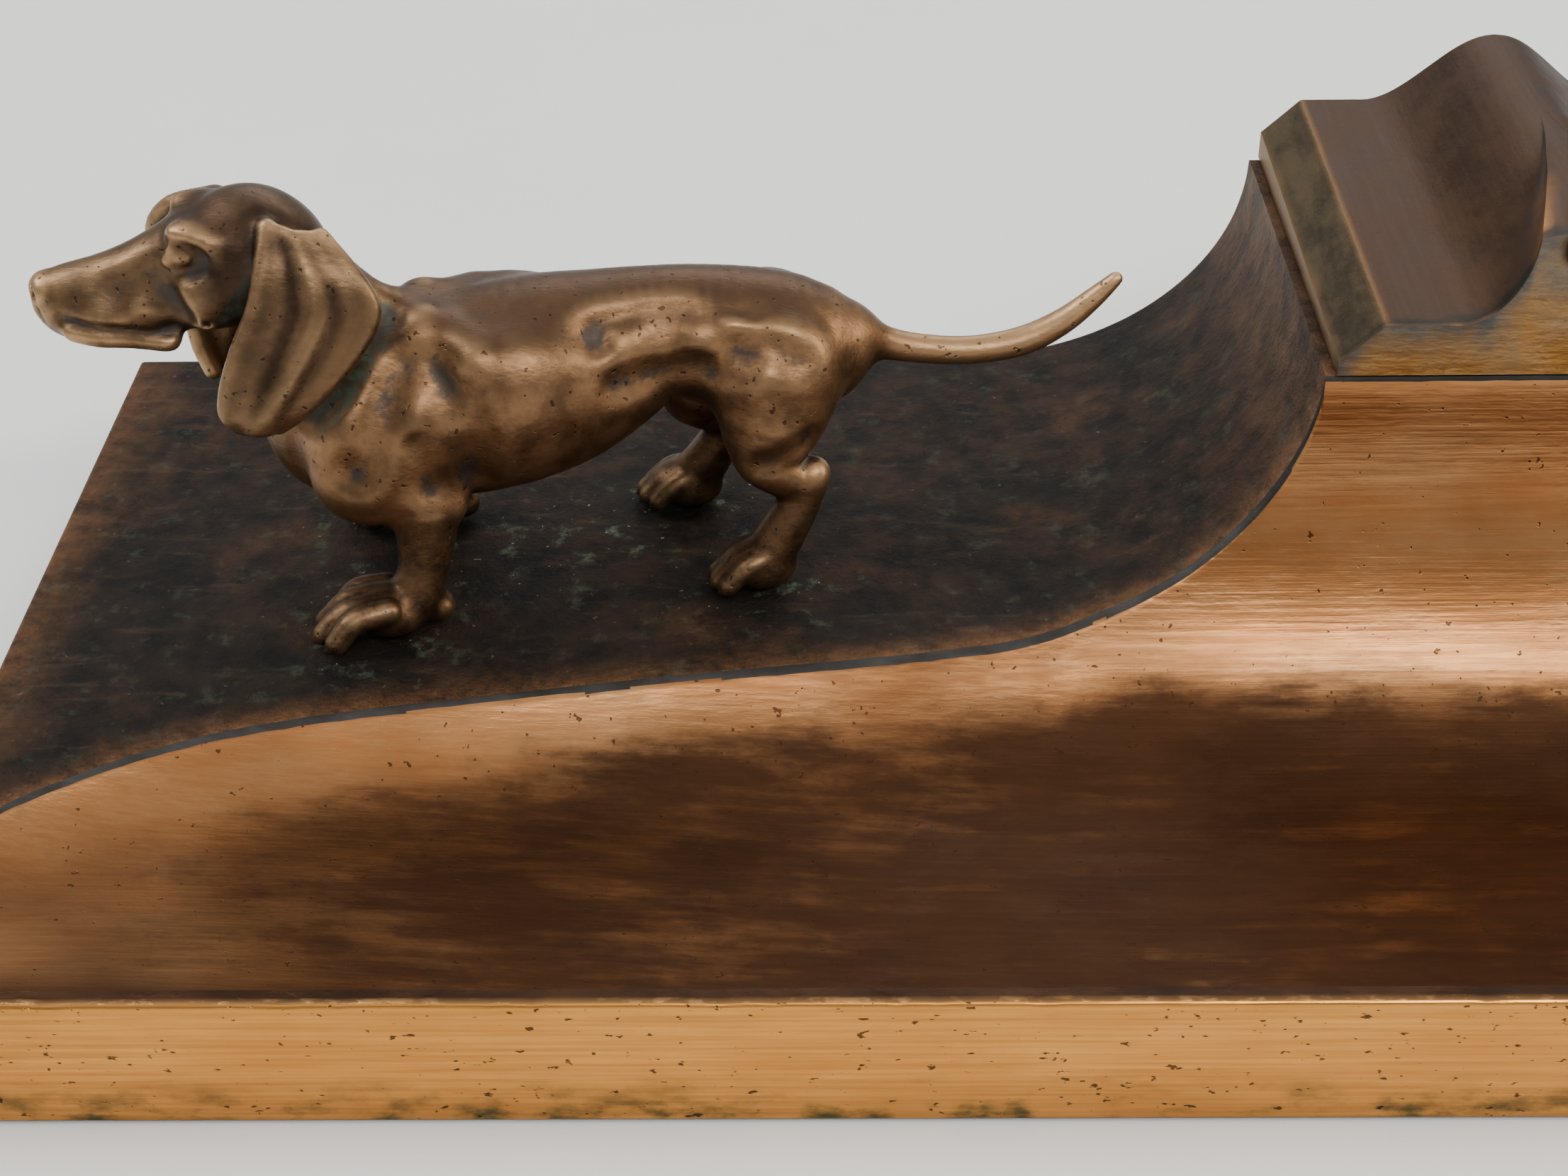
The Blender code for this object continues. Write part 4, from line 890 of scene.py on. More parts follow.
def lay_base_values(mesh, places):
    """Wear, tarnish, dirt and painted light at each point of the casting."""
    table_x = np.linspace(0.0, LENGTH, 449)
    table_edge = np.array([tray_edge_at(x) for x in table_x])
    x, y, z = places.T
    edge = np.interp(x, table_x, table_edge)
    behind = y - edge
    wave = np.array([rough_at(p, 11.0, 5.0) for p in places])
    rub = np.clip(1.0 - behind / 7.0, 0, 1) ** 2 * 0.75 + np.clip(1.0 - x / 10.0, 0, 1) ** 2 * 0.5
    rub += np.clip(wave - 0.34, 0, 1) * 0.6
    rub += 0.28 * ease(x, 128, 150) * ease(z, 24, 40)
    outer = np.clip(1.0 - y / 0.9, 0, 1) + np.clip(1.0 - np.minimum(x, LENGTH - x) / 0.7, 0, 1) * 0.7
    rub = np.where(behind < 0, np.clip(outer, 0, 1), rub)
    set_values(mesh, "rub", np.clip(rub, 0, 1))
    turn = math.radians(DOG_TURN)
    s = (x - DOG_X) * math.cos(turn) + (y - DOG_Y) * math.sin(turn)
    t = -(x - DOG_X) * math.sin(turn) + (y - DOG_Y) * math.cos(turn)
    dirt = np.zeros(len(x))
    for paw_s, paw_t in ((2, -13), (6, 12), (49, -10), (43, 10)):
        dirt += np.exp(-(((s - paw_s) / 9) ** 2 + ((t - paw_t) / 7) ** 2))
    dirt += 0.8 * np.exp(-(((s - 25) / 18) ** 2 + ((t - 2) / 10) ** 2))
    set_values(mesh, "dirt", np.clip(dirt, 0, 1))
    low = 1.0 - ease(z, 7.5, 15.5)
    centre = ease(x, 2, 46) * (1 - 0.55 * ease(x, 200, 220))
    near = ease(y, 3.0, 12.0)
    tarnish = (0.25 + 0.85 * low) * centre * near
    tarnish *= 1 - 0.45 * ease(behind, -9.0, -1.0) * (1 - ease(x, 120, 150))
    tarnish *= 1 - 0.85 * ease(z, 11.5, 20.0)
    set_values(mesh, "tarnish", np.clip(tarnish, 0, 1))
    # Matt brown over the tray face, partly its tarnished finish and partly painted light: less of it in a
    # band along the rolled edge and high on the sweep at the right end, a painted highlight, and more towards
    # the front wall, painted shade.
    dull = 1.0 - 0.55 * ease(behind, -14.0, -2.0) * (1 - ease(x, 60, 125))
    dull -= ease(x, 105, 165) * ease(z, 9.0, 15.0)
    dull = np.clip(dull, 0, 1) * (0.75 + 0.25 * (1 - ease(y, 3.0, 10.0)))
    set_values(mesh, "dull", np.clip(dull + 0.25 * wave, 0, 1))


def sort_base_faces(mesh, places):
    """Gives each face the finish of its part of the casting."""
    table_x = np.linspace(0.0, LENGTH, 449)
    table_edge = np.array([tray_edge_at(x) for x in table_x])
    for face in mesh.polygons:
        x, y, z = places[list(face.vertices)].mean(axis=0)
        behind = y - float(np.interp(x, table_x, table_edge))
        normal = face.normal
        if y < 0.25 and normal.y < -0.7:
            face.material_index = 3
        elif z < 5.0 or (abs(normal.z) < 0.3 and (x < 0.4 or x > LENGTH - 0.4 or y > DEPTH - 0.4)):
            face.material_index = 0
        elif y < RIM + 0.15 or x < RIM * 0.8 and behind < 0 or x > LENGTH - RIM * 0.8 and behind < 0:
            face.material_index = 4
        elif behind < -0.3 or behind < 0.6 and z < ledge_height(x) - 0.8:
            face.material_index = 2
        elif behind < 0.65:
            face.material_index = 1
        else:
            face.material_index = 0


# ---------------------------------------------------------------- lid

def hood_edge(y):
    """Half width of the hood's crest at y, and how far its flanks have turned bell-shaped."""
    share = (y - HOUSING_FRONT) / (DEPTH - HOUSING_FRONT)
    return smooth_through(HOOD_EDGE, share), float(ease(share, 0.0, HOOD_SOFT))


def hood_height(x, y):
    """Extra height of the raised hood over the lid's plate."""
    edge, bell = hood_edge(y)
    away = abs(x - WELL_X)
    across = min(max((HOOD_HALF - away) / (HOOD_HALF - edge), 0.0), 1.0)
    share = (y - HOUSING_FRONT) / (DEPTH - HOUSING_FRONT)
    flank = (1 - bell) * (1 - arch(across)) + bell * (0.5 - 0.5 * math.cos(math.pi * across))
    crown = HOOD_CROWN * max(0.0, 1 - (away / (edge + 0.3)) ** 2) * min(1.0, edge / 4)
    return smooth_through(HOOD_CREST, share) * flank + crown


def plate_height(x, y):
    side = min(x - LID_LEFT, LID_RIGHT - x)
    tilt = LID_TILT * (y - HOUSING_FRONT) / (DEPTH - HOUSING_FRONT)
    return tilt + LID_SIDE + (LID_RISE - LID_SIDE) * min(max(side / LID_CHAMFER, 0.0), 1.0)


def lid_coarse(x):
    ys = [HOUSING_FRONT + (DEPTH - HOUSING_FRONT) * k / 14 for k in range(15)]
    return ys, [SEAM_Z + plate_height(x, y) + hood_height(x, y) for y in ys]


def build_lid(look):
    """Lid: bevelled plate with a hood that sweeps up over the well."""
    count_y = 72
    span = DEPTH - HOUSING_FRONT
    flat = [0.0, 0.25, 0.7] + [LID_CHAMFER * k for k in (0.3, 0.5, 0.7, 0.9, 0.97, 1.03, 1.15)]
    foot = WELL_X - HOOD_HALF - LID_LEFT
    flat += list(np.linspace(6.4, foot - 0.2, 8))
    flank = 30
    grid_rows = []
    for j in range(count_y + 1):
        y = HOUSING_FRONT + span * j / count_y
        inner = WELL_X - LID_LEFT
        crest = inner - hood_edge(y)[0]
        half = list(flat)
        half += [foot + (crest - foot) * math.sin(math.radians(90 * k / flank)) for k in range(flank + 1)]
        half += [crest + (inner - crest) * k / 6 for k in (1, 2, 3, 4, 5)]
        xs = [LID_LEFT + h for h in half] + [WELL_X] + [LID_RIGHT - h for h in half[::-1]]
        row = []
        for x in xs:
            z = SEAM_Z + plate_height(x, y) + hood_height(x, y)
            z += 0.05 * rough_at((x, y, z), 7.0) + 0.03 * rough_at((x, y, z), 2.6, 4.0)
            row.append((x, y, z))
        grid_rows.append(row)
    grid = [[row[i] for row in grid_rows] for i in range(len(grid_rows[0]))]
    mesh = block_mesh("lid_blank", grid, SEAM_Z)
    inner = list(np.linspace(LID_LEFT + LID_WALL, LID_RIGHT - LID_WALL, 21))
    across = list(np.linspace(HOUSING_FRONT + LID_WALL, DEPTH - LID_WALL, 15))
    under = underside_grid(inner, across, lid_coarse, LID_WALL, SEAM_Z + 0.5)
    core = new_object("lid_core", block_mesh("lid_core", under, SEAM_Z - 5))
    made = carved("lid_blank", mesh, [core])
    made.name = "well_lid"
    places = mesh_places(made)
    x, y, z = places.T
    side = np.minimum(x - LID_LEFT, LID_RIGHT - x)
    rub = np.exp(-((side - LID_CHAMFER) / 0.4) ** 2) * 0.25 + np.clip(1 - side / 0.5, 0, 1) * 0.3
    rub += np.clip(1 - (y - HOUSING_FRONT) / 0.8, 0, 1) * 0.8
    depth_in = y - HOUSING_FRONT
    edge = np.interp(depth_in / (DEPTH - HOUSING_FRONT), *zip(*HOOD_EDGE))
    crest = np.exp(-((np.abs(x - WELL_X) - edge) / 0.9) ** 2) * np.clip(1 - depth_in / 18, 0, 1)
    rub += 0.8 * crest * ease(z, SEAM_Z + LID_RISE + 5, SEAM_Z + LID_RISE + 10)
    set_values(made, "rub", np.clip(rub, 0, 1))
    top = np.array([plate_height(v, HOUSING_FRONT) + hood_height(v, HOUSING_FRONT) for v in x]) + SEAM_Z
    fringe = np.array([rough_at(p, 2.6, 8.0) for p in places])
    set_values(made, "grime", np.clip(1.25 - depth_in / 2.0 + fringe * 1.3, 0, 1))
    tarnish = np.clip(1.25 - (top - z) / 3.4, 0, 1) * 1.0 + np.clip(1 - side / 4, 0, 1) * 0.3
    set_values(made, "tarnish", np.clip(tarnish, 0, 1))
    for build in (lid_top_bronze, lid_chamfer_bronze, lid_front_bronze):
        made.materials.append(build(look))
    for face in made.polygons:
        centre = places[list(face.vertices)].mean(axis=0)
        near = min(centre[0] - LID_LEFT, LID_RIGHT - centre[0])
        if centre[1] < HOUSING_FRONT + 0.1:
            face.material_index = 2
        elif near < LID_CHAMFER:
            face.material_index = 1
    smooth_shade(made, 32.0)
    return put_on(new_object("well_lid", made), "lid", "patinated_bronze", "lid_casting")


def build_thumb_piece(look):
    """Leaf-shaped thumb piece: dished, ribbed down its middle, with a rolled rim."""
    low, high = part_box("lid_thumb_piece")
    middle_x = (low[0] + high[0]) / 2
    half = (high[0] - low[0]) / 2
    thick = high[1] - low[1]
    rows, columns = 48, 40
    shape = bmesh.new()
    sides = []
    outline = ((0.0, 0.06), (0.06, 0.55), (0.28, 1.0), (0.58, 0.92), (0.88, 0.50), (1.0, 0.06))
    for front in (True, False):
        sheet = []
        for i in range(rows + 1):
            v = i / rows
            wide = half * max(0.05, smooth_through(outline, v))
            row = []
            for j in range(columns + 1):
                u = -1 + 2 * j / columns
                rim = max(abs(u), abs(2 * v - 1) ** 3)
                dish = 0.30 * (1 - rim ** 4)
                rib = 0.22 * math.exp(-(u / 0.09) ** 2) * (1 - abs(2 * v - 1) ** 4)
                veins = 0.06 * math.cos(16 * (v - 0.35 * abs(u))) * (1 - rim ** 2)
                if front:
                    y = low[1] + thick * (dish - rib - veins) * 0.9 + thick * 0.06
                    y += thick * 0.35 * abs(u) ** 8
                else:
                    y = high[1] - thick * 0.35 * abs(u) ** 8
                row.append(shape.verts.new((middle_x + wide * u, y, low[2] + (high[2] - low[2]) * v)))
            sheet.append(row)
        sides.append(sheet)
    for sheet in sides:
        for i in range(rows):
            for j in range(columns):
                shape.faces.new((sheet[i][j], sheet[i][j + 1], sheet[i + 1][j + 1], sheet[i + 1][j]))
    border = [(0, j) for j in range(columns)] + [(i, columns) for i in range(rows)]
    border += [(rows, j) for j in range(columns, 0, -1)] + [(i, 0) for i in range(rows, 0, -1)]
    for k, (i, j) in enumerate(border):
        m, n = border[(k + 1) % len(border)]
        shape.faces.new((sides[0][i][j], sides[0][m][n], sides[1][m][n], sides[1][i][j]))
    bmesh.ops.recalc_face_normals(shape, faces=shape.faces)
    mesh = bpy.data.meshes.new("thumb_leaf")
    shape.to_mesh(mesh)
    shape.free()
    mesh.materials.append(plain_metal("chased_gold_bronze", "#A8743C", "#5E4A34", 0.3, 3.0))
    smooth_shade(mesh, 50.0)
    return put_on(new_object("thumb_leaf", mesh), "lid", "patinated_bronze", "lid_thumb_piece")


# ---------------------------------------------------------------- dog

class Clay:
    """Clay on a grid, in the dog's own frame: the distance from each grid point to its surface."""

    def __init__(self, low, high, step):
        self.low = np.array(low, dtype=np.float32)
        self.step = step
        count = [int(round((b - a) / step)) + 1 for a, b in zip(low, high)]
        self.axes = [(self.low[n] + step * np.arange(count[n])).astype(np.float32) for n in range(3)]
        self.field = np.full(count, 8.0, dtype=np.float32)

    def window(self, low, high):
        cut = []
        for n in range(3):
            first = max(0, int((low[n] - self.low[n]) / self.step))
            last = min(len(self.axes[n]), int((high[n] - self.low[n]) / self.step) + 2)
            cut.append(slice(first, max(first + 1, last)))
        places = np.meshgrid(*[self.axes[n][cut[n]] for n in range(3)], indexing="ij")
        return tuple(cut), places

    def merge(self, cut, shape, blend):
        old = self.field[cut]
        h = np.clip(0.5 + 0.5 * (old - shape) / blend, 0, 1)
        self.field[cut] = old * (1 - h) + shape * h - blend * h * (1 - h)

    def cut_away(self, cut, shape, blend):
        old = self.field[cut]
        h = np.clip(0.5 - 0.5 * (old + shape) / blend, 0, 1)
        self.field[cut] = old * (1 - h) - shape * h + blend * h * (1 - h)

    def rod_distance(self, start, end, flat=1.0, margin=3.0):
        """Distance to a rod whose radius changes evenly between two balls (place, radius)."""
        (a, ra), (b, rb) = start, end
        a, b = np.array(a, dtype=np.float32), np.array(b, dtype=np.float32)
        reach = np.array([max(ra, rb)] * 3) / np.array([1, min(1.0, flat), 1]) + margin
        cut, (s, t, z) = self.window(np.minimum(a, b) - reach, np.maximum(a, b) + reach)
        along = b - a
        scale = np.array([1, flat, 1], dtype=np.float32)
        along_flat = along * scale
        length = float(along_flat @ along_flat) + 1e-6
        ds, dt, dz = s - a[0], (t - a[1]) * flat, z - a[2]
        h = np.clip((ds * along_flat[0] + dt * along_flat[1] + dz * along_flat[2]) / length, 0, 1)
        away = np.sqrt((ds - h * along_flat[0]) ** 2 + (dt - h * along_flat[1]) ** 2
                       + (dz - h * along_flat[2]) ** 2)
        return cut, away - (ra + (rb - ra) * h)

    def rods(self, balls, flat, margin):
        """Distance to a smooth run of rods through (s, t, z, radius), over the window they need."""
        count = len(balls)
        steps = np.linspace(0, count - 1, 4 * (count - 1) + 1) if count > 2 else np.arange(count)
        run = [[smooth_through([(k, ball[n]) for k, ball in enumerate(balls)], step) for n in range(4)]
               for step in steps]
        return self.united(list(zip(run, run[1:])), flat, margin)

    def united(self, pairs, flat, margin):
        """Distance to many rods at once, each from one (s, t, z, radius) to another."""
        whole = np.full(self.field.shape, 8.0, dtype=np.float32)
        spans = []
        for first, second in pairs:
            cut, shape = self.rod_distance((first[:3], first[3]), (second[:3], second[3]), flat, margin)
            whole[cut] = np.minimum(whole[cut], shape)
            spans.append(cut)
        cut = tuple(slice(min(c[n].start for c in spans), max(c[n].stop for c in spans)) for n in range(3))
        return cut, whole[cut]

    def chain(self, balls, blend=2.0, flat=1.0):
        """Adds a smooth run of rods through a row of (s, t, z, radius)."""
        cut, shape = self.rods(balls, flat, blend + 1.5)
        self.merge(cut, shape, blend)

    def egg(self, centre, radii, blend=2.0, turn=(0, 0, 0), dig=False):
        """Adds, or digs out, an egg shape turned by angles in degrees."""
        reach = max(radii) + blend + 1.0
        cut, (s, t, z) = self.window([c - reach for c in centre], [c + reach for c in centre])
        back = (Matrix.Rotation(math.radians(turn[2]), 3, "Z")
                @ Matrix.Rotation(math.radians(turn[1]), 3, "Y")
                @ Matrix.Rotation(math.radians(turn[0]), 3, "X")).transposed()
        ds, dt, dz = s - centre[0], t - centre[1], z - centre[2]
        u, v, w = (back[n][0] * ds + back[n][1] * dt + back[n][2] * dz for n in range(3))
        near = np.sqrt((u / radii[0]) ** 2 + (v / radii[1]) ** 2 + (w / radii[2]) ** 2) + 1e-6
        steep = np.sqrt((u / radii[0] ** 2) ** 2 + (v / radii[1] ** 2) ** 2 + (w / radii[2] ** 2) ** 2) + 1e-6
        shape = near * (near - 1) / steep
        if dig:
            self.cut_away(cut, shape, blend)
        else:
            self.merge(cut, shape, blend)

    def skin_at(self, s, z, side):
        """How far out the surface lies at one side of the dog, straight across from (s, z)."""
        i = int(round((s - self.low[0]) / self.step))
        k = int(round((z - self.low[2]) / self.step))
        line = self.field[i, :, k]
        filled = np.nonzero(line < 0)[0]
        if len(filled) == 0:
            return 0.0
        return float(self.axes[1][filled[0] if side < 0 else filled[-1]])

    def crease(self, points, wide, deep, soft=2.0, sides=(-1, 1)):
        """Presses a furrow into the skin along (s, z) points seen from the side."""
        for side in sides:
            line = [(s, self.skin_at(s, z, side) + side * (wide - deep), z, wide) for s, z in points]
            cut, shape = self.rods(line, 1.0, soft + 1)
            self.cut_away(cut, shape, soft)

    def swell(self, points, wide, high, soft=1.5, sides=(-1, 1)):
        """Raises a roll of flesh along (s, z) points seen from the side."""
        for side in sides:
            line = [(s, self.skin_at(s, z, side) - side * (wide - high), z, wide) for s, z in points]
            cut, shape = self.rods(line, 1.0, soft + 1)
            self.merge(cut, shape, soft)

    def sample(self, places, field=None):
        """The field at any places, between grid points."""
        field = self.field if field is None else field
        grid = (places - self.low) / self.step
        limit = np.array(field.shape) - 1.001
        grid = np.clip(grid, 0, limit)
        cell = grid.astype(int)
        f = grid - cell
        total = 0.0
        for corner in range(8):
            d = [(corner >> n) & 1 for n in range(3)]
            weight = np.ones(len(places))
            for n in range(3):
                weight = weight * (f[:, n] if d[n] else 1 - f[:, n])
            total = total + weight * field[cell[:, 0] + d[0], cell[:, 1] + d[1], cell[:, 2] + d[2]]
        return total

    def softened(self, reach):
        """The field averaged over a box of about reach millimetres, twice over."""
        field = self.field
        half = max(1, int(round(reach / self.step / 2)))
        for _ in range(2):
            for n in range(3):
                pad = [(0, 0)] * 3
                pad[n] = (half + 1, half)
                total = np.cumsum(np.pad(field, pad, mode="edge"), axis=n, dtype=np.float64)
                size = field.shape[n]
                high = np.take(total, range(2 * half + 1, 2 * half + 1 + size), axis=n)
                low = np.take(total, range(0, size), axis=n)
                field = ((high - low) / (2 * half + 1)).astype(np.float32)
        return field

    def skin(self):
        """Corner points and four-sided faces of the surface, one point in each crossed cell."""
        inside = self.field < 0
        count = np.zeros([n - 1 for n in inside.shape], dtype=np.int8)
        for corner in range(8):
            cut = tuple(slice((corner >> n) & 1, inside.shape[n] - 1 + ((corner >> n) & 1)) for n in range(3))
            count += inside[cut]
        mixed_cells = (count > 0) & (count < 8)
        cells = np.argwhere(mixed_cells)
        index = np.full(mixed_cells.shape, -1, dtype=np.int64)
        index[mixed_cells] = np.arange(len(cells))
        total = np.zeros((len(cells), 3))
        number = np.zeros(len(cells))
        for axis in range(3):
            others = [n for n in range(3) if n != axis]
            for corner in range(4):
                offset = np.zeros(3, dtype=int)
                offset[others[0]], offset[others[1]] = corner & 1, corner >> 1
                step = np.zeros(3, dtype=int)
                step[axis] = 1
                a = self.field[tuple((cells + offset).T)]
                b = self.field[tuple((cells + offset + step).T)]
                cross = (a < 0) != (b < 0)
                share = np.where(cross, a / np.where(cross, a - b, 1.0), 0.0)
                point = offset + share[:, None] * step
                total += np.where(cross[:, None], point, 0.0)
                number += cross
        corners = self.low + self.step * (cells + total / number[:, None])
        faces = []
        for axis in range(3):
            u, v = [n for n in range(3) if n != axis]
            first = np.take(inside, range(inside.shape[axis] - 1), axis=axis)
            second = np.take(inside, range(1, inside.shape[axis]), axis=axis)
            edges = np.argwhere(first != second)
            keep = (edges[:, u] > 0) & (edges[:, v] > 0)
            keep &= (edges[:, u] < inside.shape[u] - 1) & (edges[:, v] < inside.shape[v] - 1)
            edges = edges[keep]
            start = first[tuple(edges.T)]
            ring = []
            for du, dv in ((0, 0), (1, 0), (1, 1), (0, 1)):
                cell = edges.copy()
                cell[:, u] -= du
                cell[:, v] -= dv
                ring.append(index[tuple(cell.T)])
            quad = np.stack(ring, axis=1)
            flip = start if axis != 1 else ~start
            quad = np.where(flip[:, None], quad, quad[:, ::-1])
            faces.append(quad)
        return corners, np.concatenate(faces)


TORSO = ((-0.5, 0, 22.5, 8.4), (5, 0, 23.2, 11.6), (11, 0, 23.8, 12.2), (17, 0, 24.4, 12.5),
         (24, 0, 25.7, 12.0), (30, 0, 27.5, 10.4), (36, 0, 29.7, 8.4), (42, 0, 29.8, 8.1),
         (48, 0, 28.3, 8.8), (53, 0, 27.5, 8.4), (57, 0, 26.4, 7.0))
NECK = ((8, 0, 27.5, 9.8), (2.0, 0, 33.0, 7.7), (-2.6, 0, 39.4, 6.3), (-4.5, 0, 43, 6.0))
TAIL = ((57.5, 0, 28.8, 3.6), (61.5, 0, 27.8, 2.6), (67, 0, 25.8, 1.9), (73, 0, 24.6, 1.75),
        (78, 0, 24.4, 1.75), (83, 0, 25.2, 1.8), (87.5, 0, 27.4, 1.6),
        (91, 0, 30.2, 1.3), (93.6, 0, 32.6, 0.9))


def model_body(clay):
    clay.chain(TORSO, 3.0, 1.06)
    clay.chain(NECK, 3.0, 1.05)
    clay.egg((-2.2, 0, 19.5), (4.6, 5.2, 6.5), 3.0)
    clay.chain(((59.5, 0, 27.6, 4.4), (61.5, 0, 27.6, 3.0)), 3.0)
    clay.chain(TAIL, 1.5)
    for side in (-1, 1):
        clay.egg((5.0, 7.4 * side, 21.5), (8.6, 5.4, 9.0), 1.8, (0, -12, 0))
        clay.egg((10.5, 6.6 * side, 25.8), (5.2, 4.6, 7.8), 2.6, (0, 18, 0))
        clay.egg((10.8, 8.6 * side, 20.5), (4.2, 4.0, 6.6), 1.2, (0, -14, 0))
        clay.egg((3.2, 8.8 * side, 18.0), (6.6, 4.2, 5.4), 1.4, (0, 12, 0))
        clay.egg((20.0, 7.6 * side, 26.0), (9.5, 5.0, 9.2), 3.0, (0, -8, 0))
        clay.egg((51.5, 6.0 * side, 25.5), (8.0, 4.9, 8.6), 1.8, (0, 8, 0))
        clay.egg((51.0, 7.6 * side, 21.0), (6.2, 3.6, 5.6), 1.4, (0, -10, 0))
        clay.egg((45.5, 6.8 * side, 31.5), (4.2, 2.6, 3.2), 1.4)


def model_legs(clay):
    for side, shift, hind_shift in ((-1, 0.0, 0.0), (1, 3.5, -7.0)):
        spread = 1.0 if side < 0 else 0.86
        fore = [(9.0, 8.6, 15.5, 4.6), (9.0, 9.8, 11.0, 3.6), (8.3, 11.0, 7.0, 3.05), (7.2, 12.0, 4.0, 3.1)]
        clay.chain([(s + shift, t * side * spread, z, r) for s, t, z, r in fore], 1.6)
        clay.egg((12.0 + shift, 9.4 * side * spread, 14.6), (2.2, 2.2, 2.6), 1.0)
        paw_t = 13.0 * side * spread
        clay.egg((3.9 + shift, paw_t, 2.6), (4.6, 4.0, 3.1), 1.0, (0, 6, -10 * side))
        for reach, out in ((5.4, -3.5), (7.2, -1.25), (7.4, 1.15), (5.9, 3.5)):
            tip_s, tip_t = 3.4 + shift - reach, paw_t + (out * 1.05 + reach * 0.16) * side
            root = (3.8 + shift, paw_t + out * 0.8 * side, 4.2, 1.55)
            middle = ((3.8 + shift + tip_s) / 2 - 0.8, (root[1] + tip_t) / 2, 3.7, 1.6)
            clay.chain((root, middle, (tip_s, tip_t, 1.5, 1.4)), 0.3)
            claw = (tip_s - 1.3, tip_t + 0.2 * side, 0.65, 0.42)
            clay.chain(((tip_s, tip_t, 1.1, 0.75), claw), 0.25)
        clay.egg((9.4 + shift, paw_t * 0.92, 1.9), (2.2, 2.2, 1.9), 0.8)
        hind = [(50.5, 6.6, 19.5, 5.2), (49.8, 7.8, 16.4, 3.7), (53.0, 8.4, 13.4, 2.7),
                (55.2, 8.7, 13.6, 2.2)]
        clay.chain([(s + hind_shift, t * side, z, r) for s, t, z, r in hind], 1.4)
        shank = [(55.6, 8.7, 14.2, 1.9), (54.0, 8.9, 10.6, 2.5), (51.6, 9.3, 6.4, 2.9), (49.8, 9.7, 3.6, 3.2)]
        clay.chain([(s + hind_shift, t * side, z, r) for s, t, z, r in shank], 0.9)
        paw_t = 9.8 * side
        clay.egg((48.6 + hind_shift, paw_t, 2.4), (4.6, 3.7, 2.9), 1.0, (0, 8, -6 * side))
        for reach, out in ((3.6, -2.6), (4.8, -0.9), (4.9, 0.9), (3.9, 2.6)):
            tip_s, tip_t = 48.4 + hind_shift - reach, paw_t + (out + reach * 0.08) * side
            root = (49.4 + hind_shift, paw_t + out * 0.7 * side, 4.2, 1.35)
            clay.chain((root, ((root[0] + tip_s) / 2, (root[1] + tip_t) / 2, 3.5, 1.45),
                        (tip_s, tip_t, 1.35, 1.25)), 0.3)
            clay.chain(((tip_s, tip_t, 0.95, 0.7), (tip_s - 1.1, tip_t, 0.55, 0.4)), 0.25)


def model_head(clay):
    clay.egg((-7.6, 0, 44.2), (8.4, 7.6, 7.9), 2.0, (0, -8, 0))
    clay.egg((-11.8, 0, 41.8), (6.4, 6.6, 5.4), 2.2, (0, 8, 0))
    clay.chain(((-13.0, 0, 43.0, 6.0), (-18.6, 0, 40.8, 5.7), (-23.5, 0, 39.7, 5.1), (-27.2, 0, 39.6, 4.4),
                (-28.9, 0, 40.0, 3.4)), 2.2, 1.16)
    clay.chain(((-14.0, 0, 46.2, 3.0), (-21.0, 0, 43.2, 2.2), (-28.5, 0, 41.9, 1.7)), 1.8, 0.85)
    clay.egg((-30.4, 0, 41.8), (2.0, 2.5, 1.9), 0.5, (0, -18, 0))
    for side in (-1, 1):
        clay.egg((-23.6, 2.6 * side, 38.2), (5.4, 2.4, 2.6), 1.4, (0, 4, -6 * side))
        clay.egg((-12.2, 5.0 * side, 41.6), (3.4, 2.8, 3.6), 1.6)
        clay.egg((-12.4, 4.2 * side, 48.6), (3.4, 2.2, 1.6), 2.0, (0, 16, 6 * side))
        clay.chain(((-20.0, 2.8 * side, 36.8, 1.7), (-17.4, 3.5 * side, 35.9, 1.4)), 1.5)
    clay.crease(((-28.8, 39.4), (-25.4, 38.6), (-22.0, 37.8), (-18.9, 37.0), (-16.6, 37.6)), 0.8, 0.45, 0.7)
    clay.swell(((-27.6, 37.8), (-24.6, 37.0), (-21.0, 36.4), (-18.4, 35.9)), 1.1, 0.35, 0.8)
    clay.crease(((-18.8, 44.6), (-22.5, 43.2)), 2.2, 0.22, 1.8)
    clay.crease(((-17.2, 42.2), (-16.0, 40.0)), 2.0, 0.25, 1.6)
    for side in (-1, 1):
        out = clay.skin_at(-14.0, 46.9, side)
        clay.egg((-14.3, out + 0.9 * side, 46.9), (2.9, 1.6, 2.0), 1.6, (0, 12, 8 * side), dig=True)
        clay.egg((-14.0, out - 0.85 * side, 46.9), (1.6, 1.6, 1.45), 0.15)
        for lid in (((-16.1, 46.2), (-15.2, 47.9), (-13.8, 48.4), (-12.4, 47.7), (-11.8, 46.6)),
                    ((-15.9, 46.2), (-14.9, 45.4), (-13.6, 45.3), (-12.2, 46.1))):
            line = [(s, out - 0.3 * side + 0.12 * side * (s + 14), z, 0.4) for s, z in lid]
            clay.chain(line, 0.7)
        nostril = (-31.7, 1.2 * side, 41.7)
        clay.egg(nostril, (0.9, 0.62, 0.7), 0.3, (0, 0, 20 * side), dig=True)
        pit = clay.skin_at(-12.4, 39.4, side)
        clay.egg((-12.4, pit, 39.4), (0.5, 0.5, 0.5), 0.25, dig=True)
        clay.chain([(-12.4 + 0.75 * math.cos(a), pit + 0.05 * side, 39.4 + 0.75 * math.sin(a), 0.2)
                    for a in np.linspace(0, 2 * math.pi, 9)], 0.3)
    clay.crease(((-31.6, 40.2), (-31.0, 38.2)), 0.3, 0.25, 0.3)


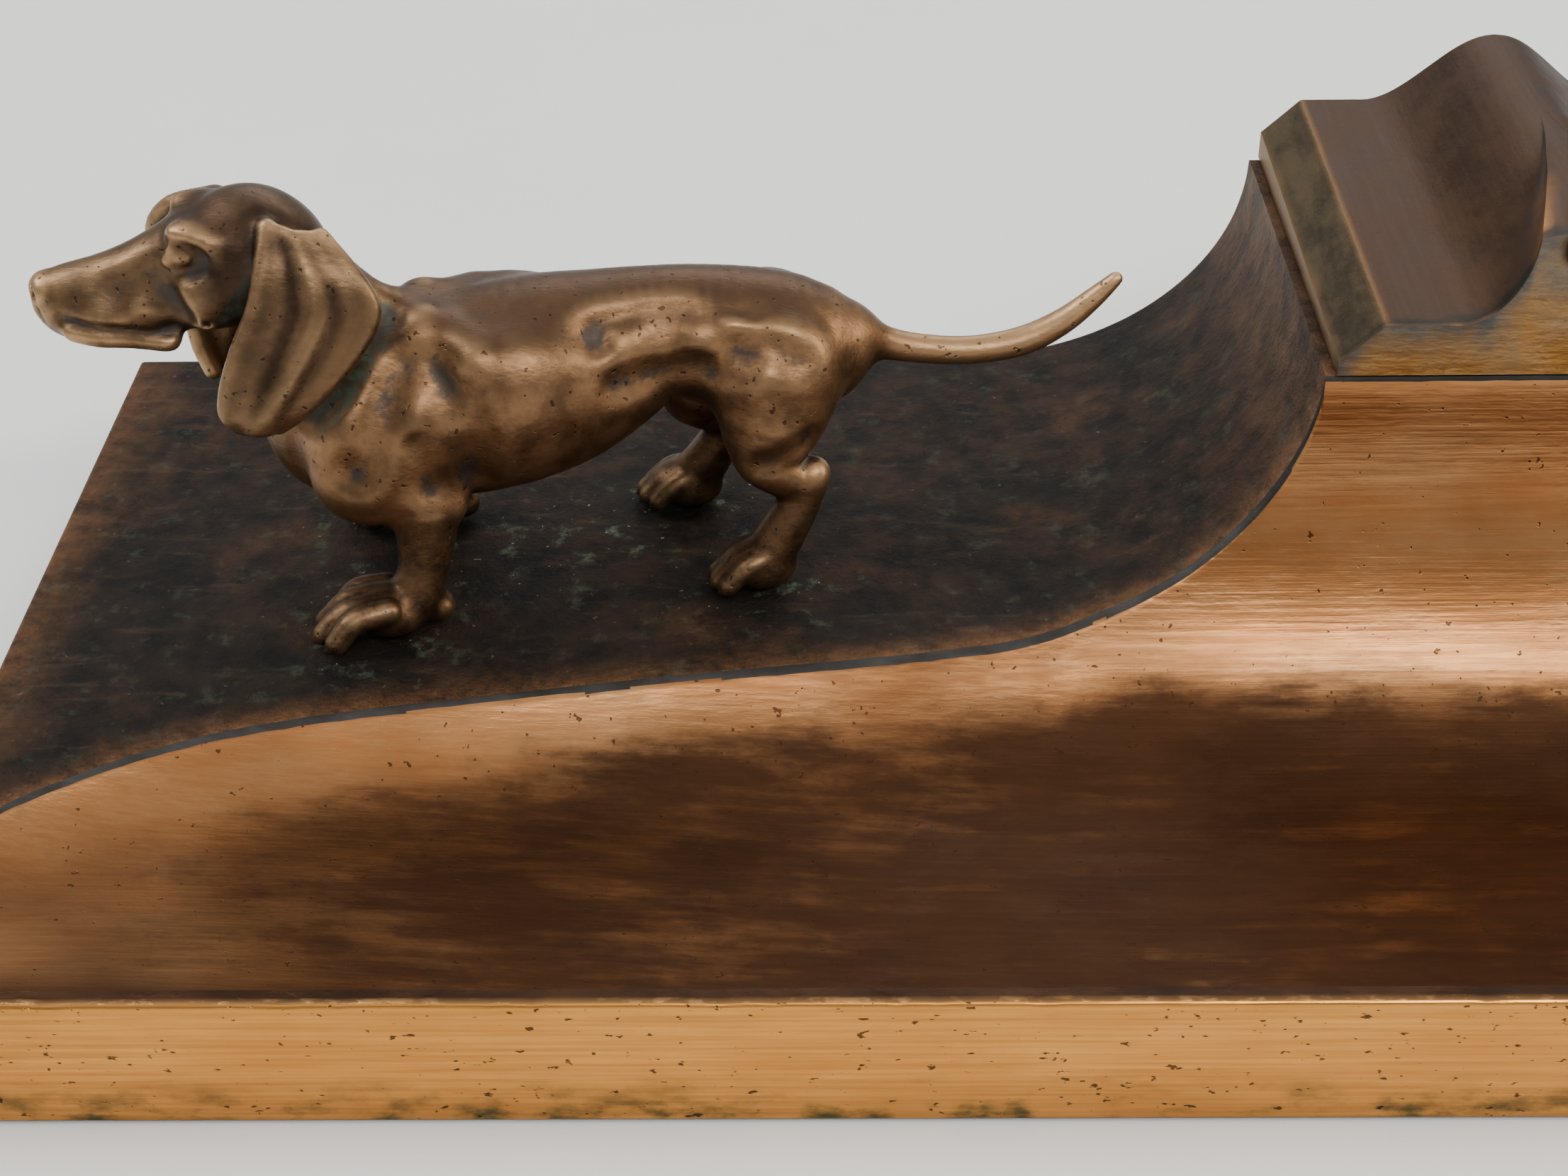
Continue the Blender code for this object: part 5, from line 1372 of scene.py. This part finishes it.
def ear_points(side):
    """Balls along an ear as (s, t, z, radius): its top, its fore edge, its hind edge and its tip."""
    if side < 0:
        return {
            "root": ((-4.4, -5.6, 49.8), (1.2, -6.0, 48.4)),
            "rows": (((-5.2, -8.4, 46.6), (4.6, -8.8, 44.4)), ((-6.4, -10.2, 42.6), (6.0, -9.9, 41.0)),
                     ((-8.6, -11.4, 38.4), (4.2, -11.2, 37.6)), ((-10.4, -12.2, 34.2), (0.8, -12.2, 34.0)),
                     ((-11.0, -12.6, 31.0), (-3.0, -12.8, 30.8))),
            "tip": ((-9.8, -12.6, 29.2), (-5.6, -12.7, 29.0))}
    return {
        "root": ((-11.0, 6.6, 48.6), (-4.4, 6.4, 46.0)),
        "rows": (((-16.4, 9.0, 46.6), (-2.4, 8.8, 42.0)), ((-19.2, 11.2, 42.6), (-0.6, 10.2, 38.0)),
                 ((-18.6, 12.0, 37.6), (-1.0, 11.6, 34.6)), ((-17.0, 11.6, 32.0), (-4.0, 12.0, 31.0)),
                 ((-16.2, 10.6, 27.0), (-8.4, 11.8, 27.4))),
        "tip": ((-15.2, 10.2, 23.8), (-12.0, 10.6, 23.8))}


EAR_FOLDS = ((0.34, 0.12, -0.75), (0.52, 0.10, 0.25), (0.70, 0.10, -0.5))


def model_ear(clay, side):
    """A soft hanging ear: a thin leather with rolled edges and two long folds."""
    form = ear_points(side)
    rows = [form["root"], *form["rows"], form["tip"]]
    down, across = 26, 17
    sheet = []
    for i in range(down):
        step = (len(rows) - 1) * i / (down - 1)
        ends = [Vector([smooth_through([(k, row[edge][n]) for k, row in enumerate(rows)], step)
                        for n in range(3)]) for edge in (0, 1)]
        line = []
        for j in range(across):
            v = j / (across - 1)
            fold = sum(high * math.exp(-((v - at - 0.12 * (i / down - 0.5)) / wide) ** 2)
                       for at, wide, high in EAR_FOLDS)
            fold *= math.sin(math.pi * min(1.0, 0.12 + 0.95 * i / down))
            out = side * (1.1 * math.sin(math.pi * v) + fold)
            thick = 0.9 + 0.25 * abs(2 * v - 1) ** 6
            line.append((*(ends[0].lerp(ends[1], v) + Vector((0, out, 0))), thick))
        sheet.append(line)
    pairs = [(a, b) for upper, lower in zip(sheet, sheet[1:]) for a, b in zip(upper, lower)]
    pairs += [(a, b) for line in sheet for a, b in zip(line, line[1:])]
    cut, shape = clay.united(pairs, 1.0, 2.0)
    clay.merge(cut, shape, 1.3)


def model_muscles(clay):
    """Furrows and rolls that were chased into the wax."""
    clay.crease(((12.4, 34.0), (13.6, 29.9), (14.6, 26.3), (15.0, 22.8), (15.0, 18.5)), 3.6, 0.55, 2.4)
    clay.crease(((8.0, 34.0), (6.4, 31.1), (4.8, 27.8), (3.6, 24.4), (1.8, 21.8)), 2.8, 0.45, 2.2)
    clay.crease(((9.2, 24.0), (10.1, 21.2), (10.7, 18.4)), 2.2, 0.4, 1.8)
    clay.crease(((6.8, 38.4), (3.4, 35.0), (0.0, 31.6), (-3.4, 28.4)), 2.4, 0.4, 2.2)
    clay.swell(((11.5, 35.0), (14.0, 34.0), (16.5, 32.6)), 2.2, 0.3, 2.2)
    clay.crease(((31.4, 35.4), (36.5, 35.7), (40.4, 35.3), (44.3, 34.0), (46.4, 31.4)), 2.8, 0.5, 2.0)
    clay.swell(((33.6, 32.4), (38.4, 33.0), (42.4, 32.4)), 1.9, 0.45, 1.6)
    clay.crease(((33.6, 28.8), (38.6, 29.0), (42.8, 29.6)), 2.4, 0.5, 1.9)
    clay.crease(((47.0, 32.2), (50.6, 32.6), (53.6, 31.0)), 2.4, 0.25, 2.0)
    clay.crease(((49.2, 17.4), (52.8, 18.4), (55.6, 19.4)), 1.8, 0.45, 1.5)


def sculpt_dog():
    """The whole dog in clay, floored where its paws meet the shelf."""
    step = 0.40
    clay = Clay((-34.5, -20.0, -1.2), (96.0, 19.0, 56.0), step)
    model_body(clay)
    model_legs(clay)
    model_muscles(clay)
    model_head(clay)
    for side in (-1, 1):
        model_ear(clay, side)
    floor = -0.35 - clay.axes[2][None, None, :] * np.ones((1, 1, 1), dtype=np.float32)
    clay.field = np.maximum(clay.field, floor)
    return clay


def dog_values(clay, places, normals):
    """Where the metal is rubbed, hollow and green, where painted shade falls, where the skull and muzzle have
    their darker brown patina, and where painted shade darkens the upward-facing back.
    """
    near = clay.sample(places)
    fine = clay.sample(places, clay.softened(1.3)) - near
    broad = clay.sample(places, clay.softened(4.0)) - near
    closed = np.zeros(len(places))
    for reach in (2.0, 4.0, 7.0):
        closed += np.clip(1 - clay.sample(places + normals * reach) / reach, 0, 1) / 3
    s, t, z = places.T
    ridge = np.clip(fine * 5.0 - 0.25, 0, 1) * 0.7 + np.clip(broad * 1.1 - 0.55, 0, 1) * 0.4
    ear = ease(np.abs(t), 6.0, 8.5) * ease(z, 20, 28) * (1 - ease(s, 8, 14))
    ridge *= 1 - 0.5 * ear
    ridge += 0.22 * (1 - ease(s, -20, -8))
    hollow = np.clip(-fine * 6.0, 0, 1) * 0.55 + np.clip(0.22 - broad * 1.2, 0, 1) * 0.8
    hollow += np.clip(closed - 0.30, 0, 1) * 1.4
    # Darker brown patina over the skull and muzzle; the next line adds painted shade on the top of the back
    # where it faces up.
    head = np.clip(1 - ease(s * 0.75 - (z - 36) * 0.6, -2.0, 5.0), 0, 1)
    head = np.maximum(head, 0.75 * ease(normals[:, 2], 0.45, 0.9) * ease(z, 31, 35))
    # Painted shade: darker low down on the legs near the shelf, in occluded places and on down-facing
    # surfaces.
    shade = np.clip(1 - ease(z, 9.0, 17.0), 0, 1) * 0.75 + np.clip(closed - 0.45, 0, 1) * 1.2
    shade += np.clip(-normals[:, 2] - 0.35, 0, 1) * 0.4
    # The furrow down the neck behind the ear: it adds painted shade there and a little verdigris.
    crevice = np.exp(-((s - (z - 32) * 0.75 - 1.6) / 2.6) ** 2) * ease(z, 24, 30) * (1 - ease(z, 40, 45))
    shade += crevice * 0.8 * (np.abs(t) > 4)
    green = np.clip(closed - 0.55, 0, 1) * 1.2 * ease(z, 22, 28) + 0.35 * crevice * (closed > 0.4)
    return {"ridge": np.clip(ridge, 0, 1), "hollow": np.clip(hollow, 0, 1), "head": head,
            "shade": np.clip(shade, 0, 1), "green": np.clip(green, 0, 1)}


def build_dog(look):
    """Dachshund on the shelf, cast in one with its ears and tail."""
    clay = sculpt_dog()
    corners, faces = clay.skin()
    turn = math.radians(DOG_TURN)
    x = DOG_X + corners[:, 0] * math.cos(turn) - corners[:, 1] * math.sin(turn)
    y = DOG_Y + corners[:, 0] * math.sin(turn) + corners[:, 1] * math.cos(turn)
    z = DOG_Z + corners[:, 2]
    mesh = bpy.data.meshes.new("dachshund")
    mesh.vertices.add(len(corners))
    flat = np.stack([BASE_LOW[0] + x * MM, BASE_LOW[1] + y * MM, z * MM], axis=1)
    mesh.vertices.foreach_set("co", flat.astype(np.float32).ravel())
    mesh.loops.add(len(faces) * 4)
    mesh.loops.foreach_set("vertex_index", faces.astype(np.int32).ravel())
    mesh.polygons.add(len(faces))
    mesh.polygons.foreach_set("loop_start", np.arange(0, len(faces) * 4, 4, dtype=np.int32))
    mesh.update(calc_edges=True)
    mesh.validate()
    shape = bmesh.new()
    shape.from_mesh(mesh)
    bmesh.ops.smooth_vert(shape, verts=shape.verts, factor=0.5, use_axis_x=True, use_axis_y=True,
                          use_axis_z=True)
    bmesh.ops.recalc_face_normals(shape, faces=shape.faces)
    shape.to_mesh(mesh)
    shape.free()
    mesh.shade_smooth()
    normals = np.empty(len(mesh.vertices) * 3, dtype=np.float32)
    mesh.vertices.foreach_get("normal", normals)
    normals = normals.reshape(-1, 3)
    back = np.stack([normals[:, 0] * math.cos(turn) + normals[:, 1] * math.sin(turn),
                     -normals[:, 0] * math.sin(turn) + normals[:, 1] * math.cos(turn), normals[:, 2]], axis=1)
    for name, values in dog_values(clay, corners, back).items():
        set_values(mesh, name, values)
    mesh.materials.append(hand_rubbed_dog_bronze(look))
    return put_on(new_object("dachshund", mesh), "stand", "rubbed_bronze",
                  "dog_body", "dog_head", "dog_ear_left", "dog_ear_right", "dog_tail")


# ---------------------------------------------------------------- hinge, screws, well and underside

def dress(node, material):
    """Gives a carried-over CAD node its finish."""
    thing = frame["nodes"][node]
    for slot in thing.material_slots:
        slot.material = material
    if not thing.material_slots:
        raise RuntimeError(f"{node} has no material slot")


def build_hinge(look):
    """Finishes of the brass hinge, its steel pin and screws, and the screws under the casting."""
    brass = plain_metal("tarnished_cast_brass", look["brass"], "#5E4A2A", 0.32, 2.0, (0.15, 1, 1))
    steel = plain_metal("blued_screw_steel", "#6E6C69", "#3A3430", 0.34, 1.5)
    for node in ("hinge_base_leaf", "hinge_lid_leaf"):
        dress(node, brass)
    for node in frame["nodes"]:
        if "screw" in node or "washer" in node or node == "hinge_pin":
            dress(node, steel)
    return brass


def build_well(look):
    """Pressed glass liner: clear, faintly green, with a dried ring of blue-black ink low down."""
    material, tree = new_material("pressed_soda_glass")
    place = add(tree, "ShaderNodeTexCoord")
    height = add(tree, "ShaderNodeSeparateXYZ", [(0, place.node.outputs["Object"])]).node.outputs["Z"]
    cloud = speckle(tree, 5.0, 0.35, 0.7, along=(1, 1, 0.5))
    level = add(tree, "ShaderNodeMapRange", [("Value", height), (1, 0.030), (2, 0.022)])
    ink = add(tree, "ShaderNodeMath",
              [(0, level),
               (1,
                add(tree, "ShaderNodeMath", [(0, cloud), (1, 0.8), (2, 0.35)], operation="MULTIPLY_ADD"))],
              operation="MULTIPLY", use_clamp=True)
    colour = add(tree, "ShaderNodeMix", [(0, ink), (6, "#DDEBE4"), (7, "#141A2E")], output=2,
                 data_type="RGBA")
    roughness = add(tree, "ShaderNodeMath", [(0, ink), (1, 0.35), (2, 0.06)], operation="MULTIPLY_ADD")
    fine = speckle(tree, 3.0, 0.2, 0.8)
    shader = finish_metal(tree, colour, roughness, 0.0, [(fine, 0.05, 0.25)], ior=1.52)
    shader.inputs["Transmission Weight"].default_value = 0.85
    dress("ink_liner", material)


def build_board(look):
    """Underside board: stained mahogany, planed along its length."""
    material, tree = new_material("stained_mahogany")
    grain = speckle(tree, 2.4, 0.30, 0.72, along=(0.05, 1, 1), rough=0.6)
    pores = speckle(tree, 0.6, 0.55, 0.68, along=(0.08, 1, 1), detail=2.0, shift=2.0)
    colour = add(tree, "ShaderNodeMix", [(0, grain), (6, look["board_dark"]), (7, "#6A3F24")], output=2,
                 data_type="RGBA")
    colour = add(tree, "ShaderNodeMix", [(0, pores), (6, colour), (7, "#1E100A")], output=2,
                 data_type="RGBA")
    finish_metal(tree, colour, 0.55, 0.0, [(grain, 0.05, 0.3), (pores, 0.1, 0.4)], ior=1.5)
    dress("bottom_board", material)


def build_baize(look):
    """Green baize glued under the board: a felted sheet with a soft nap and a slightly wavy cut edge."""
    low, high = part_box("baize_pad")
    columns, rows = 120, 72
    shape = bmesh.new()
    sheets = []
    for upper in (True, False):
        sheet = []
        for i in range(columns + 1):
            row = []
            for j in range(rows + 1):
                u, v = i / columns, j / rows
                x, y = low[0] + (high[0] - low[0]) * u, low[1] + (high[1] - low[1]) * v
                nap = 0.05 * MM * (1 + rough_at((x / MM, y / MM, 3.0 * upper), 3.0))
                border = min(u, 1 - u, v, 1 - v) == 0
                edge = 0.12 * MM * rough_at((x / MM, y / MM, 0), 6.0, 2.0) if border else 0.0
                x += edge if u in (0, 1) else 0.0
                y += edge if v in (0, 1) else 0.0
                x, y = min(max(x, low[0]), high[0]), min(max(y, low[1]), high[1])
                row.append(shape.verts.new((x, y, high[2] - nap if upper else low[2] + nap)))
            sheet.append(row)
        sheets.append(sheet)
    for sheet in sheets:
        for i in range(columns):
            for j in range(rows):
                shape.faces.new((sheet[i][j], sheet[i + 1][j], sheet[i + 1][j + 1], sheet[i][j + 1]))
    border = [(i, 0) for i in range(columns)] + [(columns, j) for j in range(rows)]
    border += [(i, rows) for i in range(columns, 0, -1)] + [(0, j) for j in range(rows, 0, -1)]
    for k, (i, j) in enumerate(border):
        m, n = border[(k + 1) % len(border)]
        shape.faces.new((sheets[0][i][j], sheets[0][m][n], sheets[1][m][n], sheets[1][i][j]))
    bmesh.ops.recalc_face_normals(shape, faces=shape.faces)
    mesh = bpy.data.meshes.new("baize_sheet")
    shape.to_mesh(mesh)
    shape.free()
    material, tree = new_material("felted_wool_baize")
    nap = speckle(tree, 0.7, 0.2, 0.8, rough=0.8)
    worn_patch = speckle(tree, 18.0, 0.4, 0.75)
    colour = add(tree, "ShaderNodeMix", [(0, nap), (6, look["baize"]), (7, "#2F5A38")], output=2,
                 data_type="RGBA")
    colour = add(tree, "ShaderNodeMix",
                 [(0, add(tree, "ShaderNodeMath", [(0, worn_patch), (1, 0.5)], operation="MULTIPLY")),
                  (6, colour), (7, "#4A6640")],
                 output=2, data_type="RGBA")
    shader = finish_metal(tree, colour, 0.95, 0.0, [(nap, 0.2, 0.8)], ior=1.45)
    shader.inputs["Sheen Weight"].default_value = 0.5
    mesh.materials.append(material)
    smooth_shade(mesh, 60.0)
    sheet = put_on(new_object("baize_sheet", mesh), "stand", "green_baize", "baize_pad")
    return sheet


# ---------------------------------------------------------------- stage

def build_stage(look):
    """Pale table, soft lamps and the camera."""
    shape = bmesh.new()
    bmesh.ops.create_grid(shape, x_segments=8, y_segments=8, size=2.5)
    mesh = bpy.data.meshes.new("table")
    shape.to_mesh(mesh)
    shape.free()
    material, tree = new_material("matt_white_laminate")
    cloud = speckle(tree, 60.0, 0.2, 0.8)
    colour = add(tree, "ShaderNodeMix", [(0, cloud), (6, look["table"]), (7, "#EBEBE8")], output=2,
                 data_type="RGBA")
    finish_metal(tree, colour, 0.6, 0.0, [], ior=1.45)
    mesh.materials.append(material)
    table = new_object("table", mesh)
    for name, place, aim, size, power, tint in (
            ("key_softbox", (0.24, -0.50, 0.62), (0.02, 0.0, 0.02), (0.60, 0.14), 3.2, "#FFFFFF"),
            ("left_softbox", (-0.85, 0.15, 1.00), (0.0, 0.0, 0.02), (0.7, 0.7), 9.0, "#FAFCFF"),
            ("back_softbox", (0.15, 0.75, 0.60), (0.0, 0.05, 0.03), (0.9, 0.35), 3.0, "#F6FAFF"),
            ("right_softbox", (0.75, -0.05, 0.35), (0.05, 0.0, 0.02), (0.3, 0.5), 3.0, "#FFF6EA")):
        lamp = bpy.data.lights.new(name, "AREA")
        lamp.shape = "RECTANGLE"
        lamp.size, lamp.size_y = size
        lamp.energy = power * look["light"]
        lamp.color = linear(tint)[:3]
        holder = new_object(name, lamp)
        holder.location = place
        holder.rotation_euler = (Vector(aim) - Vector(place)).to_track_quat("-Z", "Y").to_euler()
    world_light = bpy.data.worlds.new("room")
    world_light.use_nodes = True
    tree = world_light.node_tree
    tree.nodes.clear()
    place = add(tree, "ShaderNodeTexCoord").node.outputs["Generated"]
    height = add(tree, "ShaderNodeSeparateXYZ", [(0, place)]).node.outputs["Z"]
    sky = add(tree, "ShaderNodeValToRGB",
              [(0,
                add(tree, "ShaderNodeMath", [(0, height), (1, 0.5), (2, 0.5)], operation="MULTIPLY_ADD"))],
              stops=((0.0, grey(0.35)), (0.5, grey(0.42)), (0.62, grey(0.3)), (0.8, grey(0.46)),
                     (1.0, grey(1.0))))
    back = tree.nodes.new("ShaderNodeBackground")
    tree.links.new(sky, back.inputs["Color"])
    back.inputs["Strength"].default_value = look["room"]
    out = tree.nodes.new("ShaderNodeOutputWorld")
    tree.links.new(back.outputs[0], out.inputs["Surface"])
    bpy.context.scene.world = world_light
    camera = bpy.data.cameras.new("camera")
    camera.lens = 54.06
    camera.sensor_width = 36.0
    camera.clip_start = 0.005
    holder = new_object("camera", camera)
    holder.location = world((97.10, -164.685, 183.55))
    holder.rotation_euler = [math.radians(a) for a in (54.688, 0.818, 0.539)]
    bpy.context.scene.camera = holder


# ---------------------------------------------------------------- add-on

COLOURS = (
    ("patina_dark", "Dark patina", "Colour of the shelf in its hollows", "#12100D"),
    ("patina_brown", "Brown patina", "Colour of the shelf on its lumps", "#2B221A"),
    ("rubbed", "Rubbed bronze", "Where the dark patina has worn through", "#7A5230"),
    ("verdigris", "Verdigris", "Green in crevices and round the paws", "#6E7F66"),
    ("copper", "Red bronze", "Polished face of the tray", "#B57A48"),
    ("copper_pale", "Pale red bronze", "Lighter clouds of the tray's face", "#C79463"),
    ("front_bronze", "Front bronze", "Draw-filed front face", "#DE9C4E"),
    ("lid_brown", "Lid brown", "Waxed lid", "#382619"),
    ("dog_gold", "Dog gold", "Rubbed body of the dog", "#977250"),
    ("dog_brown", "Dog brown", "Browner clouds of its body", "#644A33"),
    ("dog_hollow", "Dog hollows", "Blue-grey patina in the dog's furrows", "#45403C"),
    ("brass", "Brass", "Hinge", "#9A7A42"),
    ("board_dark", "Board", "Underside board", "#3A2012"),
    ("baize", "Baize", "Green cloth", "#1E3D27"),
    ("table", "Table", "Table top", "#F0F0EC"),
)


class InkstandLook(bpy.types.PropertyGroup):
    """Colours and light that a user may change."""

    light: bpy.props.FloatProperty(name="Lamps", description="Strength of the lamps", default=1.0, min=0.0)
    room: bpy.props.FloatProperty(name="Room", description="Strength of the room's light",
                                  default=1.12, min=0.0)


for key, label, text, code in COLOURS:
    InkstandLook.__annotations__[key] = bpy.props.FloatVectorProperty(
        name=label, description=text, subtype="COLOR", size=4, min=0.0, max=1.0, default=linear(code))


def chosen(context):
    """The user's colours as values that a material can take."""
    settings = context.scene.inkstand_look
    look = {key: tuple(getattr(settings, key)) for key, _, _, _ in COLOURS}
    look["light"], look["room"] = settings.light, settings.room
    return look


class StageOperator(bpy.types.Operator):
    """Adds the table, the lamps and the camera"""

    bl_idname = "inkstand.stage"
    bl_label = "Stage"

    def execute(self, context):
        build_stage(chosen(context))
        return {"FINISHED"}


class BaseOperator(bpy.types.Operator):
    """Builds the base casting"""

    bl_idname = "inkstand.base"
    bl_label = "Base casting"

    def execute(self, context):
        build_base(chosen(context))
        return {"FINISHED"}


class LidOperator(bpy.types.Operator):
    """Builds the lid with its hood and thumb piece"""

    bl_idname = "inkstand.lid"
    bl_label = "Lid"

    def execute(self, context):
        build_lid(chosen(context))
        build_thumb_piece(chosen(context))
        return {"FINISHED"}


class DogOperator(bpy.types.Operator):
    """Sculpts the dachshund"""

    bl_idname = "inkstand.dog"
    bl_label = "Dachshund"

    def execute(self, context):
        build_dog(chosen(context))
        return {"FINISHED"}


class FittingsOperator(bpy.types.Operator):
    """Finishes the hinge, the screws, the glass well and the underside"""

    bl_idname = "inkstand.fittings"
    bl_label = "Fittings"

    def execute(self, context):
        look = chosen(context)
        build_hinge(look)
        build_well(look)
        build_board(look)
        build_baize(look)
        return {"FINISHED"}


class InkstandPanel(bpy.types.Panel):
    """Lists the pieces and their colours in the sidebar"""

    bl_idname = "INKSTAND_PT_panel"
    bl_label = "Inkstand"
    bl_space_type = "VIEW_3D"
    bl_region_type = "UI"
    bl_category = "Inkstand"

    def draw(self, context):
        for operator in OPERATORS:
            self.layout.operator(operator.bl_idname)
        for key, _, _, _ in COLOURS:
            self.layout.prop(context.scene.inkstand_look, key)
        self.layout.prop(context.scene.inkstand_look, "light")
        self.layout.prop(context.scene.inkstand_look, "room")


OPERATORS = (StageOperator, BaseOperator, LidOperator, DogOperator, FittingsOperator)
CLASSES = (InkstandLook, *OPERATORS, InkstandPanel)


def register():
    for kind in CLASSES:
        bpy.utils.register_class(kind)
    bpy.types.Scene.inkstand_look = bpy.props.PointerProperty(type=InkstandLook)


def unregister():
    del bpy.types.Scene.inkstand_look
    for kind in reversed(CLASSES):
        bpy.utils.unregister_class(kind)


def main():
    register()
    bpy.ops.inkstand.stage()
    bpy.ops.inkstand.base()
    bpy.ops.inkstand.lid()
    bpy.ops.inkstand.dog()
    bpy.ops.inkstand.fittings()


if __name__ == "__main__":
    main()
